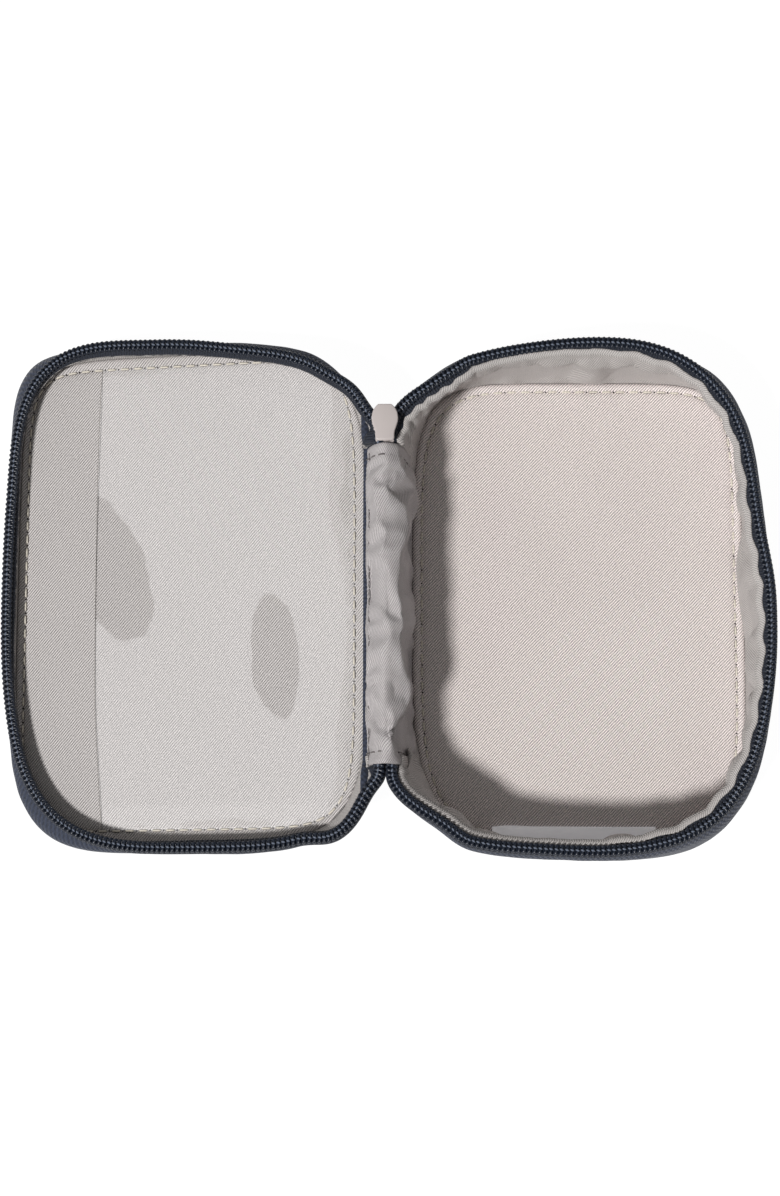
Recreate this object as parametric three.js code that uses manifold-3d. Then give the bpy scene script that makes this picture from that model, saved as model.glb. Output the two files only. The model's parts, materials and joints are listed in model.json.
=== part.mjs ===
// Travel pill organizer: a soft zip-around case lying open, in millimetres, +Z up.
// The deep tray lies flat on the table. The shallow cover hangs from a fabric hinge along the
// tray's -X edge and droops until its far edge nearly reaches the table.
// The origin is the middle of the tray's flat underside. The hinge runs along Y.

import * as THREE from 'three';
import { mergeVertices } from 'three/addons/utils/BufferGeometryUtils.js';
import Module from 'manifold-3d';

const wasm = await Module();
wasm.setup();

// ---------------------------------------------------------------- driving dimensions

const gap = 0.3;                    // clearance between layers that touch on the real case
const ringSteps = 72;               // straight pieces in one full outline

const trayDepth = 28;               // table to the rim plane
const coverDepth = 10.6;            // rim plane to the cover's outer face
const hingeX = -47.2;               // hinge line, level with the rim plane
const droop = THREE.MathUtils.degToRad(11);
const arcReach = 0.93;              // a wall ends where its outline is this far out, of halfX

const clothThickness = 0.9;         // outer twill with its backing
const liningThickness = 0.5;
const seam = 1.6;                   // from the spine lining's ends to the wall lining's ends
const foamThickness = 0.8;          // padding inside the tray's wall
const boardThickness = 1.0;         // stiffener sheet in the tray's base
const padThickness = 2.2;           // foam pad in the cover's panel
const pocketThickness = 0.35;

const spineBottom = -39.5;          // the fabric hinge's two ends along Y
const spineTop = 37.0;
const zipperStart = 50.5;           // each free coil starts this far from the middle, along Y

const coilWidth = 2.8;
const coilHeight = 1.1;
const coilBelowRim = 0.4;           // the coil's top stays this far under the rim plane
const tapeThickness = 0.6;
const tapeInnerInset = 5.0;         // the tape's inner edge, from the rim
const tapeOuterInset = 0.6;
const tapeInnerBelowRim = 3.2;
const tapeOuterBelowRim = 2.4;

const labelLength = 40;
const labelWidth = 4.4;
const labelX = -1;
const labelPastSeam = 0.4;
const pocketEdgeX = -73;            // the clear pocket's free edge, from the hinge line
const pocketInset = 0.6;            // the pocket's other edges, inside the lining panel's

const trayHemBelowRim = 2.2;
const trayWallBelowRim = 3.6;       // where a wall's cloth ends, under the zipper tape
const coverWallBelowRim = 3.6;
const wallTopInset = 3.4;           // the same places, from the rim
const coverLiningTopInset = 5.0;
const trayShoulder = 9;             // height where the tray's wall starts to lean in
const coverShoulderBelowRim = 5.2;
const coverShoulderLean = 0.2;

const slider = {
  mouthY: 46.6,                     // the end that the open coils enter
  wideY: 43.4,
  tailY: 38.0,
  mouthHalf: 2.4,
  wideHalf: 3.2,
  tailHalf: 2.2,
  plate: 0.9,
  channel: 2.0,                     // clear height between the two plates
  flange: 0.55,                     // how far each side flange stands into the channel
  flangeWidth: 0.5,
  flangeShorter: 1.2,               // than the taper from wideY to tailY
  flangeShift: 0.4,                 // towards the tail
  postRadius: 0.8,
  bridgeClearHalf: 1.3,             // inside the bridge, along Y
  bridgeLeg: 0.8,
  bridgeWidth: 1.6,
  overlap: 0.1,                     // how deep its pieces run into each other
};

const pull = {
  pinY: 42.3,
  pinBelowAxis: 3.1,
  pinRadius: 0.45,
  halfWidth: 2.2,
  windowHalf: 1.2,
  windowLength: 2.7,
  length: 16,
  thickness: 1.0,
  pinPlay: 0.1,
  eyeletRadius: 0.9,
  eyeletRise: 0.2,
};

// An outline is a rounded rectangle written as a superellipse. Each corner has its own
// exponent, from 2 (an ellipse) up to 7 (a nearly square corner).
// Corners run +X+Y, -X+Y, -X-Y, +X-Y. The spine side is -1 at -X, and 1 at +X. On that side the
// curve would reach as far as spineReach, and is cut straight at halfX.

const trayRim = {
  x: 0, y: 0, halfX: 46.9, halfY: 63.3, corners: [2.7, 3.0, 3.2, 3.2], spineSide: -1, spineReach: 53,
};
const trayShell = {
  x: 0, y: 0, halfX: 44.0, halfY: 61.5, corners: [7, 7, 7, 7], spineSide: -1, spineReach: 44,
};
const coverRim = {
  x: -49.8, y: 2.4, halfX: 45.6, halfY: 63.6, corners: [3.1, 4.0, 3.0, 4.3], spineSide: 1,
  spineReach: 49,
};
const coverShell = {
  x: -50.4, y: 2.2, halfX: 44.9, halfY: 62.0, corners: [7, 7, 7, 7], spineSide: 1, spineReach: 44.9,
};

// ---------------------------------------------------------------- materials

function finish(color, roughness, metalness = 0) {
  return new THREE.MeshStandardMaterial({ color, roughness, metalness });
}

const navyTwill = () => finish('#363d4c', 0.85);
const navyNylon = () => finish('#1c2432', 0.55);
const greyLining = () => finish('#c6bfbc', 0.7);
const foam = () => finish('#d8d6d0', 0.95);

// ---------------------------------------------------------------- outlines and bands

// The outline's point in direction angle, measured at its own centre, pulled in by inset.
function outlinePoint(outline, angle, inset = 0) {
  const cos = Math.cos(angle);
  const sin = Math.sin(angle);
  const corner = sin >= 0 ? (cos >= 0 ? 0 : 1) : (cos >= 0 ? 3 : 2);
  const exponent = outline.corners[corner];
  const onSpineSide = cos * outline.spineSide > 0;
  const reachX = (onSpineSide ? outline.spineReach : outline.halfX) - inset;
  const spanX = Math.abs(cos) / reachX;
  const spanY = Math.abs(sin) / (outline.halfY - inset);
  let radius = (spanX ** exponent + spanY ** exponent) ** (-1 / exponent);
  if (onSpineSide) {
    radius = Math.min(radius, (outline.halfX - inset) / Math.abs(cos));
  }
  return new THREE.Vector2(outline.x + radius * cos, outline.y + radius * sin);
}

// A flat slab over a convex ring of points, from height low. Its two faces are fans round
// their middle, which keeps every facet well shaped.
function slab(points, low, thickness) {
  const middle = points.reduce((sum, point) => sum.add(point), new THREE.Vector2());
  middle.divideScalar(points.length);
  const count = points.length;
  const ringAt = (z) => points.flatMap((point) => [point.x, point.y, z]);
  const positions = [...ringAt(low), ...ringAt(low + thickness)];
  positions.push(middle.x, middle.y, low, middle.x, middle.y, low + thickness);
  const index = [];
  for (let i = 0; i < count; i += 1) {
    const next = (i + 1) % count;
    index.push(2 * count, next, i);
    index.push(2 * count + 1, count + i, count + next);
    index.push(i, next, count + next);
    index.push(i, count + next, count + i);
  }
  const geometry = new THREE.BufferGeometry();
  geometry.setAttribute('position', new THREE.Float32BufferAttribute(positions, 3));
  geometry.setIndex(index);
  geometry.computeVertexNormals();
  return geometry;
}

// A flat plate of an outline, from height low, as thick as said.
function plate(outline, inset, low, thickness) {
  const angles = ringAngles(0, 2 * Math.PI).slice(0, -1);
  return slab(angles.map((angle) => outlinePoint(outline, angle, inset)), low, thickness);
}

// The angles from one direction to another. Those in between sit on one shared grid, so that
// nested bands have parallel facets.
function ringAngles(from, to) {
  const step = (2 * Math.PI) / ringSteps;
  const angles = [from];
  for (let i = Math.floor(from / step) + 1; i * step < to - 1e-6; i += 1) {
    if (i * step > from + 1e-6) {
      angles.push(i * step);
    }
  }
  angles.push(to);
  return angles;
}

// A band sweeps a cross-section along outlines. The section's corners are listed
// anticlockwise as seen with outward to the right and up to the top, each as
// { outline, inset, z }. Without angles, the band is a closed ring.
function band(section, from = 0, to = 2 * Math.PI) {
  const closed = to - from > 2 * Math.PI - 1e-6;
  const angles = closed ? ringAngles(from, to).slice(0, -1) : ringAngles(from, to);
  const rows = angles.length;
  const steps = closed ? rows : rows - 1;
  const size = section.length;
  const positions = [];
  for (const angle of angles) {
    for (const corner of section) {
      const point = outlinePoint(corner.outline, angle, corner.inset);
      positions.push(point.x, point.y, corner.z);
    }
  }
  const index = [];
  for (let i = 0; i < steps; i += 1) {
    const near = i * size;
    const far = ((i + 1) % rows) * size;
    for (let j = 0; j < size; j += 1) {
      const k = (j + 1) % size;
      // Every face is split from its near lower corner to its far upper one, so that
      // nested walls stay parallel.
      if (section[j].z <= section[k].z) {
        index.push(near + j, far + j, far + k);
        index.push(near + j, far + k, near + k);
      } else {
        index.push(near + j, far + j, near + k);
        index.push(far + j, far + k, near + k);
      }
    }
  }
  if (!closed) {
    const flat = section.map(({ outline, inset, z }) => new THREE.Vector2(outline.halfX - inset, z));
    const last = (rows - 1) * size;
    for (const [a, b, c] of THREE.ShapeUtils.triangulateShape(flat, [])) {
      index.push(a, b, c);
      index.push(last + c, last + b, last + a);
    }
  }
  const geometry = new THREE.BufferGeometry();
  geometry.setAttribute('position', new THREE.Float32BufferAttribute(positions, 3));
  geometry.setIndex(index);
  geometry.computeVertexNormals();
  return geometry;
}

// A fabric wall that passes through levels, listed from the bottom up. The levels say where
// its outer face is, and its inner face is thickness further in.
function wall(levels, thickness, from, to) {
  const inner = levels.map((level) => ({ ...level, inset: level.inset + thickness }));
  return band([...levels, ...inner.reverse()], from, to);
}

// The arc of an outline that goes round its outer side, from lowY to highY on the spine side.
function outerArc(outline, lowY, highY) {
  const reach = outline.spineSide * outline.halfX * arcReach;
  const low = Math.atan2(lowY - outline.y, reach);
  const high = Math.atan2(highY - outline.y, reach);
  return outline.spineSide < 0 ? [low, high] : [high, low + 2 * Math.PI];
}

const zipperArc = (rim) => outerArc(rim, -zipperStart, zipperStart);

// The tape slopes up and outward under the coil.
function zipperTape(rim, rimZ) {
  const innerZ = rimZ - tapeInnerBelowRim;
  const outerZ = rimZ - tapeOuterBelowRim;
  const section = [
    { outline: rim, inset: tapeInnerInset, z: innerZ },
    { outline: rim, inset: tapeOuterInset, z: outerZ },
    { outline: rim, inset: tapeOuterInset, z: outerZ + tapeThickness },
    { outline: rim, inset: tapeInnerInset, z: innerZ + tapeThickness },
  ];
  return band(section, ...zipperArc(rim));
}

// The coil's envelope is a bead with chamfered corners, lying on the tape's upper face.
function zipperCoil(rim, rimZ) {
  const high = rimZ - coilBelowRim;
  const low = high - coilHeight;
  const chamfer = 0.35;
  const section = [
    { outline: rim, inset: coilWidth - chamfer, z: low },
    { outline: rim, inset: chamfer, z: low },
    { outline: rim, inset: 0, z: low + chamfer },
    { outline: rim, inset: 0, z: high - chamfer },
    { outline: rim, inset: chamfer, z: high },
    { outline: rim, inset: coilWidth - chamfer, z: high },
    { outline: rim, inset: coilWidth, z: high - chamfer },
    { outline: rim, inset: coilWidth, z: low + chamfer },
  ];
  return band(section, ...zipperArc(rim));
}

// A strip of cloth along Y, from an XZ outline given as [x from the hinge line, z] pairs.
function spineStrip(section, fromY, toY) {
  const shape = new THREE.Shape(section.map(([x, z]) => new THREE.Vector2(x, z)));
  const geometry = new THREE.ExtrudeGeometry(shape, { depth: toY - fromY, bevelEnabled: false });
  geometry.rotateX(Math.PI / 2);
  return geometry.translate(0, toY, 0);
}

// ---------------------------------------------------------------- booleans

function toSolid(geometry) {
  const bare = geometry.clone();
  bare.deleteAttribute('normal');
  bare.deleteAttribute('uv');
  const merged = mergeVertices(bare, 1e-4);
  const vertProperties = new Float32Array(merged.attributes.position.array);
  const triVerts = new Uint32Array(merged.index.array);
  return new wasm.Manifold(new wasm.Mesh({ numProp: 3, vertProperties, triVerts }));
}

function joined(geometries) {
  const solid = geometries.map(toSolid).reduce((whole, piece) => whole.add(piece));
  const mesh = solid.getMesh();
  const geometry = new THREE.BufferGeometry();
  geometry.setAttribute('position', new THREE.BufferAttribute(mesh.vertProperties, 3));
  geometry.setIndex(new THREE.BufferAttribute(mesh.triVerts, 1));
  geometry.computeVertexNormals();
  return geometry;
}

// ---------------------------------------------------------------- scene graph

const organizer = new THREE.Group();
const cover = new THREE.Group();
const hinge = new THREE.Group();
hinge.position.set(hingeX, 0, trayDepth);
cover.position.copy(hinge.position);
cover.rotation.y = -droop;
organizer.add(hinge, cover);

function addTo(group, name, geometry, material) {
  const mesh = new THREE.Mesh(geometry, material);
  mesh.name = name;
  group.add(mesh);
}

// ---------------------------------------------------------------- tray

const boardLow = clothThickness + gap;
const trayLiningLow = boardLow + boardThickness + gap;
const trayLiningTop = trayLiningLow + liningThickness;
const foamInset = clothThickness + gap;
const liningInset = foamInset + foamThickness + gap;
const panelInset = liningInset + liningThickness + gap;

const wallTop = trayDepth - trayWallBelowRim;
const liningArc = outerArc(trayShell, spineBottom - seam, spineTop + seam);

addTo(organizer, 'tray_shell_panel', plate(trayShell, 0, 0, clothThickness), navyTwill());
addTo(organizer, 'tray_stiffener_board',
  plate(trayShell, panelInset, boardLow, boardThickness), finish('#e6e4de', 0.6));
addTo(organizer, 'tray_lining_panel',
  plate(trayShell, panelInset, trayLiningLow, liningThickness), greyLining());

// The wall stands straight up to its shoulder and leans in from there to the zipper.
function trayWallLevels(inset) {
  return [
    { outline: trayShell, inset, z: boardLow },
    { outline: trayShell, inset, z: trayShoulder },
    { outline: trayRim, inset: wallTopInset + inset, z: wallTop },
  ];
}
const hem = {
  outline: trayRim,
  inset: wallTopInset + liningInset,
  z: trayDepth - trayHemBelowRim,
};

addTo(organizer, 'tray_gusset',
  wall(trayWallLevels(0), clothThickness), navyTwill());
addTo(organizer, 'tray_wall_foam',
  wall(trayWallLevels(foamInset), foamThickness), foam());
addTo(organizer, 'tray_gusset_lining',
  wall([...trayWallLevels(liningInset), hem], liningThickness, ...liningArc), greyLining());

addTo(organizer, 'tray_zipper_tape', zipperTape(trayRim, trayDepth), navyNylon());
addTo(organizer, 'tray_zipper_coil', zipperCoil(trayRim, trayDepth), navyNylon());

const label = new THREE.BoxGeometry(labelLength, labelWidth, liningThickness);
label.translate(labelX, -trayShell.halfY + panelInset + labelPastSeam + labelWidth / 2,
  trayLiningTop + gap + liningThickness / 2);
addTo(organizer, 'care_label', label, finish('#e2e1e2', 0.35));

// ---------------------------------------------------------------- fabric hinge

// The outer hinge cloth bridges from the tray's wall to the hinge line.
const hingeCloth = [
  [-1.7, -0.75], [0, -0.95], [4.4, -2.6], [4.9, -3.2], [4.9, -2.4], [4.5, -1.8], [0.1, -0.2],
  [-1.7, -0.1],
];
addTo(hinge, 'spine_shell', spineStrip(hingeCloth, spineBottom, spineTop), navyTwill());

// The spine lining climbs the tray's inner wall, folds over the crest and ends past it.
const liningFoot = trayLiningTop - trayDepth + gap;
const liningRise = [
  [5.75, liningFoot], [6.2, liningFoot], [6.75, -3.3], [5.2, -1.1], [0.4, 0.65], [-1.9, 0.75],
  [-1.9, 0.25], [0.2, 0.15], [4.9, -1.6], [6.25, -3.5],
];
addTo(hinge, 'spine_lining', spineStrip(liningRise, spineBottom, spineTop), greyLining());

// Short stretches where the two coils are meshed, just past the fabric hinge's ends.
const chainHalf = 1.3;
const chainThickness = 1.5;
function chain(fromY, toY) {
  const geometry = new THREE.BoxGeometry(2 * chainHalf, toY - fromY, chainThickness);
  return geometry.translate(0, (fromY + toY) / 2, 0);
}
const postY = slider.mouthY - 1.6;
addTo(hinge, 'zipper_chain_top',
  chain(spineTop + gap, postY - slider.postRadius - gap), navyNylon());
addTo(hinge, 'zipper_chain_bottom', chain(spineBottom - 8, spineBottom - gap), navyNylon());

// ---------------------------------------------------------------- slider and pull

function sliderPlate(low) {
  const shape = new THREE.Shape();
  shape.moveTo(-slider.tailHalf, slider.tailY);
  shape.lineTo(slider.tailHalf, slider.tailY);
  shape.quadraticCurveTo(slider.wideHalf, slider.tailY + 2, slider.wideHalf, slider.wideY);
  shape.quadraticCurveTo(slider.wideHalf, slider.mouthY, slider.mouthHalf, slider.mouthY);
  shape.lineTo(-slider.mouthHalf, slider.mouthY);
  shape.quadraticCurveTo(-slider.wideHalf, slider.mouthY, -slider.wideHalf, slider.wideY);
  shape.quadraticCurveTo(-slider.wideHalf, slider.tailY + 2, -slider.tailHalf, slider.tailY);
  const geometry = new THREE.ExtrudeGeometry(shape, {
    depth: slider.plate,
    bevelEnabled: false,
    curveSegments: 6,
  });
  return geometry.translate(0, 0, low);
}

function sliderFlange(side, low) {
  const width = slider.flangeWidth;
  const length = slider.wideY - slider.tailY - slider.flangeShorter;
  const height = slider.flange + 2 * slider.overlap;
  const middleY = (slider.tailY + slider.wideY) / 2 - slider.flangeShift;
  const flange = new THREE.BoxGeometry(width, length, height);
  return flange.translate(side * (slider.tailHalf - width / 2), middleY, low);
}

// The bridge under the outer plate, an arch in the YZ plane that holds the pull's pin.
function sliderBridge() {
  const clearHalf = slider.bridgeClearHalf;
  const leg = slider.bridgeLeg;
  const top = -slider.channel / 2 - slider.plate + slider.overlap;
  const floor = -pull.pinBelowAxis - pull.pinRadius - gap;
  const outerHalf = clearHalf + leg;
  const shape = new THREE.Shape();
  shape.moveTo(-outerHalf, top);
  shape.lineTo(-outerHalf, floor);
  shape.lineTo(-clearHalf, floor - leg);
  shape.lineTo(clearHalf, floor - leg);
  shape.lineTo(outerHalf, floor);
  shape.lineTo(outerHalf, top);
  shape.lineTo(clearHalf, top);
  shape.lineTo(clearHalf, floor);
  shape.lineTo(-clearHalf, floor);
  shape.lineTo(-clearHalf, top);
  const width = slider.bridgeWidth;
  const arch = new THREE.ExtrudeGeometry(shape, { depth: width, bevelEnabled: false });
  arch.rotateX(Math.PI / 2);
  arch.rotateZ(Math.PI / 2);
  return arch.translate(-width / 2, pull.pinY, 0);
}

const halfChannel = slider.channel / 2;
const flangeMiddle = halfChannel - slider.flange / 2 + slider.overlap;
const post = new THREE.CylinderGeometry(slider.postRadius, slider.postRadius,
  slider.channel + slider.plate, 16);
post.rotateX(Math.PI / 2);
post.translate(0, postY, 0);
addTo(hinge, 'slider_body', joined([
  sliderPlate(halfChannel),
  sliderPlate(-halfChannel - slider.plate),
  post,
  sliderFlange(1, flangeMiddle),
  sliderFlange(-1, flangeMiddle),
  sliderFlange(1, -flangeMiddle),
  sliderFlange(-1, -flangeMiddle),
  sliderBridge(),
]), finish('#c0b7b4', 0.3, 0.9));

// The pull hangs from its pin. A window lets its two arms pass either side of the bridge.
function pullBlade() {
  const top = pull.pinRadius;
  const low = -pull.length;
  const shape = new THREE.Shape();
  shape.moveTo(-pull.halfWidth, top);
  shape.lineTo(-pull.halfWidth, low + pull.halfWidth);
  shape.absarc(0, low + pull.halfWidth, pull.halfWidth, Math.PI, 2 * Math.PI);
  shape.lineTo(pull.halfWidth, top);
  const window = new THREE.Path();
  window.moveTo(-pull.windowHalf, -pull.pinRadius + pull.pinPlay);
  window.lineTo(pull.windowHalf, -pull.pinRadius + pull.pinPlay);
  window.lineTo(pull.windowHalf, -pull.windowLength);
  window.lineTo(-pull.windowHalf, -pull.windowLength);
  const eyelet = new THREE.Path();
  eyelet.absarc(0, low + pull.halfWidth + pull.eyeletRise, pull.eyeletRadius, 0, 2 * Math.PI);
  shape.holes.push(window, eyelet);
  const blade = new THREE.ExtrudeGeometry(shape, {
    depth: pull.thickness,
    bevelEnabled: false,
    curveSegments: 10,
  });
  blade.rotateX(Math.PI / 2);
  return blade.translate(0, pull.pinY + pull.thickness / 2, -pull.pinBelowAxis);
}
addTo(hinge, 'pull_tab', pullBlade(), finish('#b3adab', 0.35, 0.9));

// ---------------------------------------------------------------- cover

const coverFace = -coverDepth;
const padLow = coverFace + clothThickness + gap;
const coverLiningLow = padLow + padThickness + gap;
const coverLiningTop = coverLiningLow + liningThickness;
const coverLiningInset = clothThickness + gap;
const coverPanelInset = coverLiningInset + liningThickness + 2 * gap;
const coverWallTop = -coverWallBelowRim;
const coverShoulder = -coverShoulderBelowRim;
const coverLiningArc = outerArc(coverShell, spineBottom - seam, spineTop + seam);

// The pocket is the lining panel's outline cut straight across at its free edge.
function pocketSheet() {
  const inset = coverPanelInset + pocketInset;
  const halfY = coverShell.halfY - inset;
  const points = ringAngles(-Math.PI, Math.PI).slice(0, -1)
    .map((angle) => outlinePoint(coverShell, angle, inset))
    .filter((point) => point.x > pocketEdgeX + 1);
  points.unshift(new THREE.Vector2(pocketEdgeX, coverShell.y - halfY));
  points.push(new THREE.Vector2(pocketEdgeX, coverShell.y + halfY));
  return slab(points, coverLiningTop + gap, pocketThickness);
}

addTo(cover, 'cover_shell_panel', plate(coverShell, 0, coverFace, clothThickness), navyTwill());
addTo(cover, 'cover_foam_pad', plate(coverShell, coverPanelInset, padLow, padThickness), foam());
addTo(cover, 'cover_lining_panel',
  plate(coverShell, coverPanelInset, coverLiningLow, liningThickness), greyLining());
addTo(cover, 'cover_clear_pocket', pocketSheet(), finish('#dcdcdc', 0.15));

// The cover's wall is short, so above its shoulder it folds well over towards the zipper.
function coverWallLevels(inset, topInset, top) {
  return [
    { outline: coverShell, inset, z: padLow },
    { outline: coverShell, inset: inset + coverShoulderLean, z: coverShoulder - inset / 3 },
    { outline: coverRim, inset: topInset, z: top },
  ];
}

addTo(cover, 'cover_gusset',
  wall(coverWallLevels(0, wallTopInset, coverWallTop), clothThickness), navyTwill());
addTo(cover, 'cover_gusset_lining',
  wall(coverWallLevels(coverLiningInset, coverLiningTopInset, coverWallTop - gap), liningThickness,
    ...coverLiningArc),
  greyLining());

// The spine lining's far end, sewn to the cover's lining panel.
const endFoot = coverLiningTop + pocketThickness + 2 * gap;
const coverLiningEnd = [
  [-9.3, endFoot], [-8.85, endFoot], [-8.85, -3.2], [-7.4, -3.1], [-2.9, -1.0], [-3.0, -0.5],
  [-7.4, -2.5], [-9.3, -2.7],
];
addTo(cover, 'spine_lining_cover_end',
  spineStrip(coverLiningEnd, spineBottom, spineTop), greyLining());

addTo(cover, 'cover_zipper_tape', zipperTape(coverRim, 0), navyNylon());
addTo(cover, 'cover_zipper_coil', zipperCoil(coverRim, 0), navyNylon());

export default organizer;
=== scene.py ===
"""Looks of the soft travel pill organizer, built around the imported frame.

Everything is built in millimetres in the frame of one half of the case, where z is 0 at the
zipper's rim plane, and then placed: the tray straight above its base, and the cover by the
hinge line and its droop. A half's rim is a closed outline. The zipper, the hems and the walls
follow it.
"""

import json
import math

import bmesh
import bpy
import numpy as np
from mathutils import Matrix, Vector, noise


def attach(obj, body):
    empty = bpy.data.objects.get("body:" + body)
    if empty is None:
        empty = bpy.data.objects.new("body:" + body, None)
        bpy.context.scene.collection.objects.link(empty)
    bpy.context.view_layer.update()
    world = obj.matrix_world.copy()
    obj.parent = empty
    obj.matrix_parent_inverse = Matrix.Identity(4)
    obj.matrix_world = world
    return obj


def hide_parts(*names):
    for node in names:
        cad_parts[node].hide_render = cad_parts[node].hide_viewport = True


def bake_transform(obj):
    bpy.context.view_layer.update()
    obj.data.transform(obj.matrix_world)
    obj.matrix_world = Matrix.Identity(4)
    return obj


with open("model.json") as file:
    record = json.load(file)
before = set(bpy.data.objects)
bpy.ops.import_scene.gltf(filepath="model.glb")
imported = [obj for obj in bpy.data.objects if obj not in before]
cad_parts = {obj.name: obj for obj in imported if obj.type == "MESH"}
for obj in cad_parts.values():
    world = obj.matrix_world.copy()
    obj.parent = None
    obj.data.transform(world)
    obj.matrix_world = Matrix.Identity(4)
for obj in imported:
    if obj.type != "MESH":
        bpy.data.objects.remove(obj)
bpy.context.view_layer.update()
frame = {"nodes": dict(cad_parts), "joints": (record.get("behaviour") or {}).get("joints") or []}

MM = 0.001
JOINTS = {joint["name"]: joint for joint in frame["joints"]}
HINGE = Vector(JOINTS["cover_hinge"]["pos_m"]) / MM
DROOP = math.radians(JOINTS["cover_hinge"]["range_deg"][1] - 180)
RIM_Z = HINGE.z

TRAY_PLACE = Matrix.Translation((0, 0, RIM_Z))
HINGE_PLACE = Matrix.Translation(HINGE)
COVER_PLACE = HINGE_PLACE @ Matrix.Rotation(-DROOP, 4, "Y")

COIL_PITCH = 1.25
STITCH_PITCH = 3.4
PATH_STEP = 0.1
PATH_SOFTNESS = 1.5
LOOP_SOFTNESS = 2.0


def node_points(node, place):
    """A CAD node's vertices in millimetres, in the frame of place."""
    points = np.array([vertex.co for vertex in frame["nodes"][node].data.vertices], float) / MM
    m = np.array(place.inverted())
    return points @ m[:3, :3].T + m[:3, 3]


def node_box(node, place):
    points = node_points(node, place)
    return points.min(0), points.max(0)


# ---- curves in the rim plane

def spline(points, samples):
    """A smooth curve from the second point to the last but one, without its last sample."""
    t = np.linspace(0, 1, samples, endpoint=False)[:, None]
    parts = []
    for a, b, c, d in zip(points[:-3], points[1:-2], points[2:-1], points[3:]):
        cubic = 2 * b + (c - a) * t + (2 * a - 5 * b + 4 * c - d) * t ** 2
        parts.append(0.5 * (cubic + (3 * b - a - 3 * c + d) * t ** 3))
    return np.concatenate(parts)


def soften(line, spacing, softness):
    """A line averaged over softness mm. It loses 3 softness at each end."""
    reach = round(3 * softness / spacing)
    kernel = np.exp(-0.5 * (np.arange(-reach, reach + 1) * spacing / softness) ** 2)
    kernel /= kernel.sum()
    return np.stack([np.convolve(line[:, k], kernel, "valid") for k in (0, 1)], 1)


def resample(line, spacing):
    """The open line again, with samples about spacing apart."""
    steps = np.linalg.norm(np.diff(line, axis=0), axis=1)
    along = np.concatenate([[0], np.cumsum(steps)])
    count = max(2, int(round(along[-1] / spacing)) + 1)
    s = np.linspace(0, along[-1], count)
    return np.stack([np.interp(s, along, line[:, k]) for k in range(line.shape[1])], 1)


def smooth_loop(points):
    """A closed curve through the points, as samples 1 mm apart."""
    loop = spline(np.concatenate([points[-1:], points, points[:2]]), 24)
    loop = resample(np.concatenate([loop, loop[:1]]), 1.0)[:-1]
    reach = round(3 * LOOP_SOFTNESS)
    return soften(np.concatenate([loop[-reach:], loop, loop[:reach]]), 1.0, LOOP_SOFTNESS)


def smooth_line(points, spacing):
    """A smooth open curve through the points, as evenly spaced samples."""
    p = np.array(points, float)
    padded = np.concatenate([[2 * p[0] - p[1]], p, [2 * p[-1] - p[-2]]])
    return resample(np.concatenate([spline(padded, 16), p[-1:]]), spacing)


def directions(line, closed=False):
    """Unit tangents of a line."""
    step = np.roll(line, -1, 0) - np.roll(line, 1, 0) if closed else np.gradient(line, axis=0)
    return step / np.maximum(np.linalg.norm(step, axis=1), 1e-9)[:, None]


def outward(line, closed=False):
    """Unit normals to the right of an anticlockwise line, in the plane."""
    tangent = directions(line, closed)
    return np.stack([tangent[:, 1], -tangent[:, 0]], 1)


def superellipse(centre, half_x, half_y, corners, angles, inset=0.0):
    """Points of a rounded rectangle in the given directions. corners are exponents, in the
    order +X+Y, -X+Y, -X-Y, +X-Y."""
    cos, sin = np.cos(angles), np.sin(angles)
    which = np.where(sin >= 0, np.where(cos >= 0, 0, 1), np.where(cos >= 0, 3, 2))
    power = np.array(corners, float)[which]
    span = (np.abs(cos) / (half_x - inset)) ** power + (np.abs(sin) / (half_y - inset)) ** power
    radius = span ** (-1 / power)
    return np.stack([centre[0] + radius * cos, centre[1] + radius * sin], 1)


def smoothstep(t):
    t = np.clip(t, 0, 1)
    return t * t * (3 - 2 * t)


def facing(angles, towards, width):
    """1 in a direction, falling to 0 at width degrees from it."""
    off = np.abs((np.degrees(angles) - towards + 180) % 360 - 180)
    return smoothstep(1 - off / width)


# ---- the two halves

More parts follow.
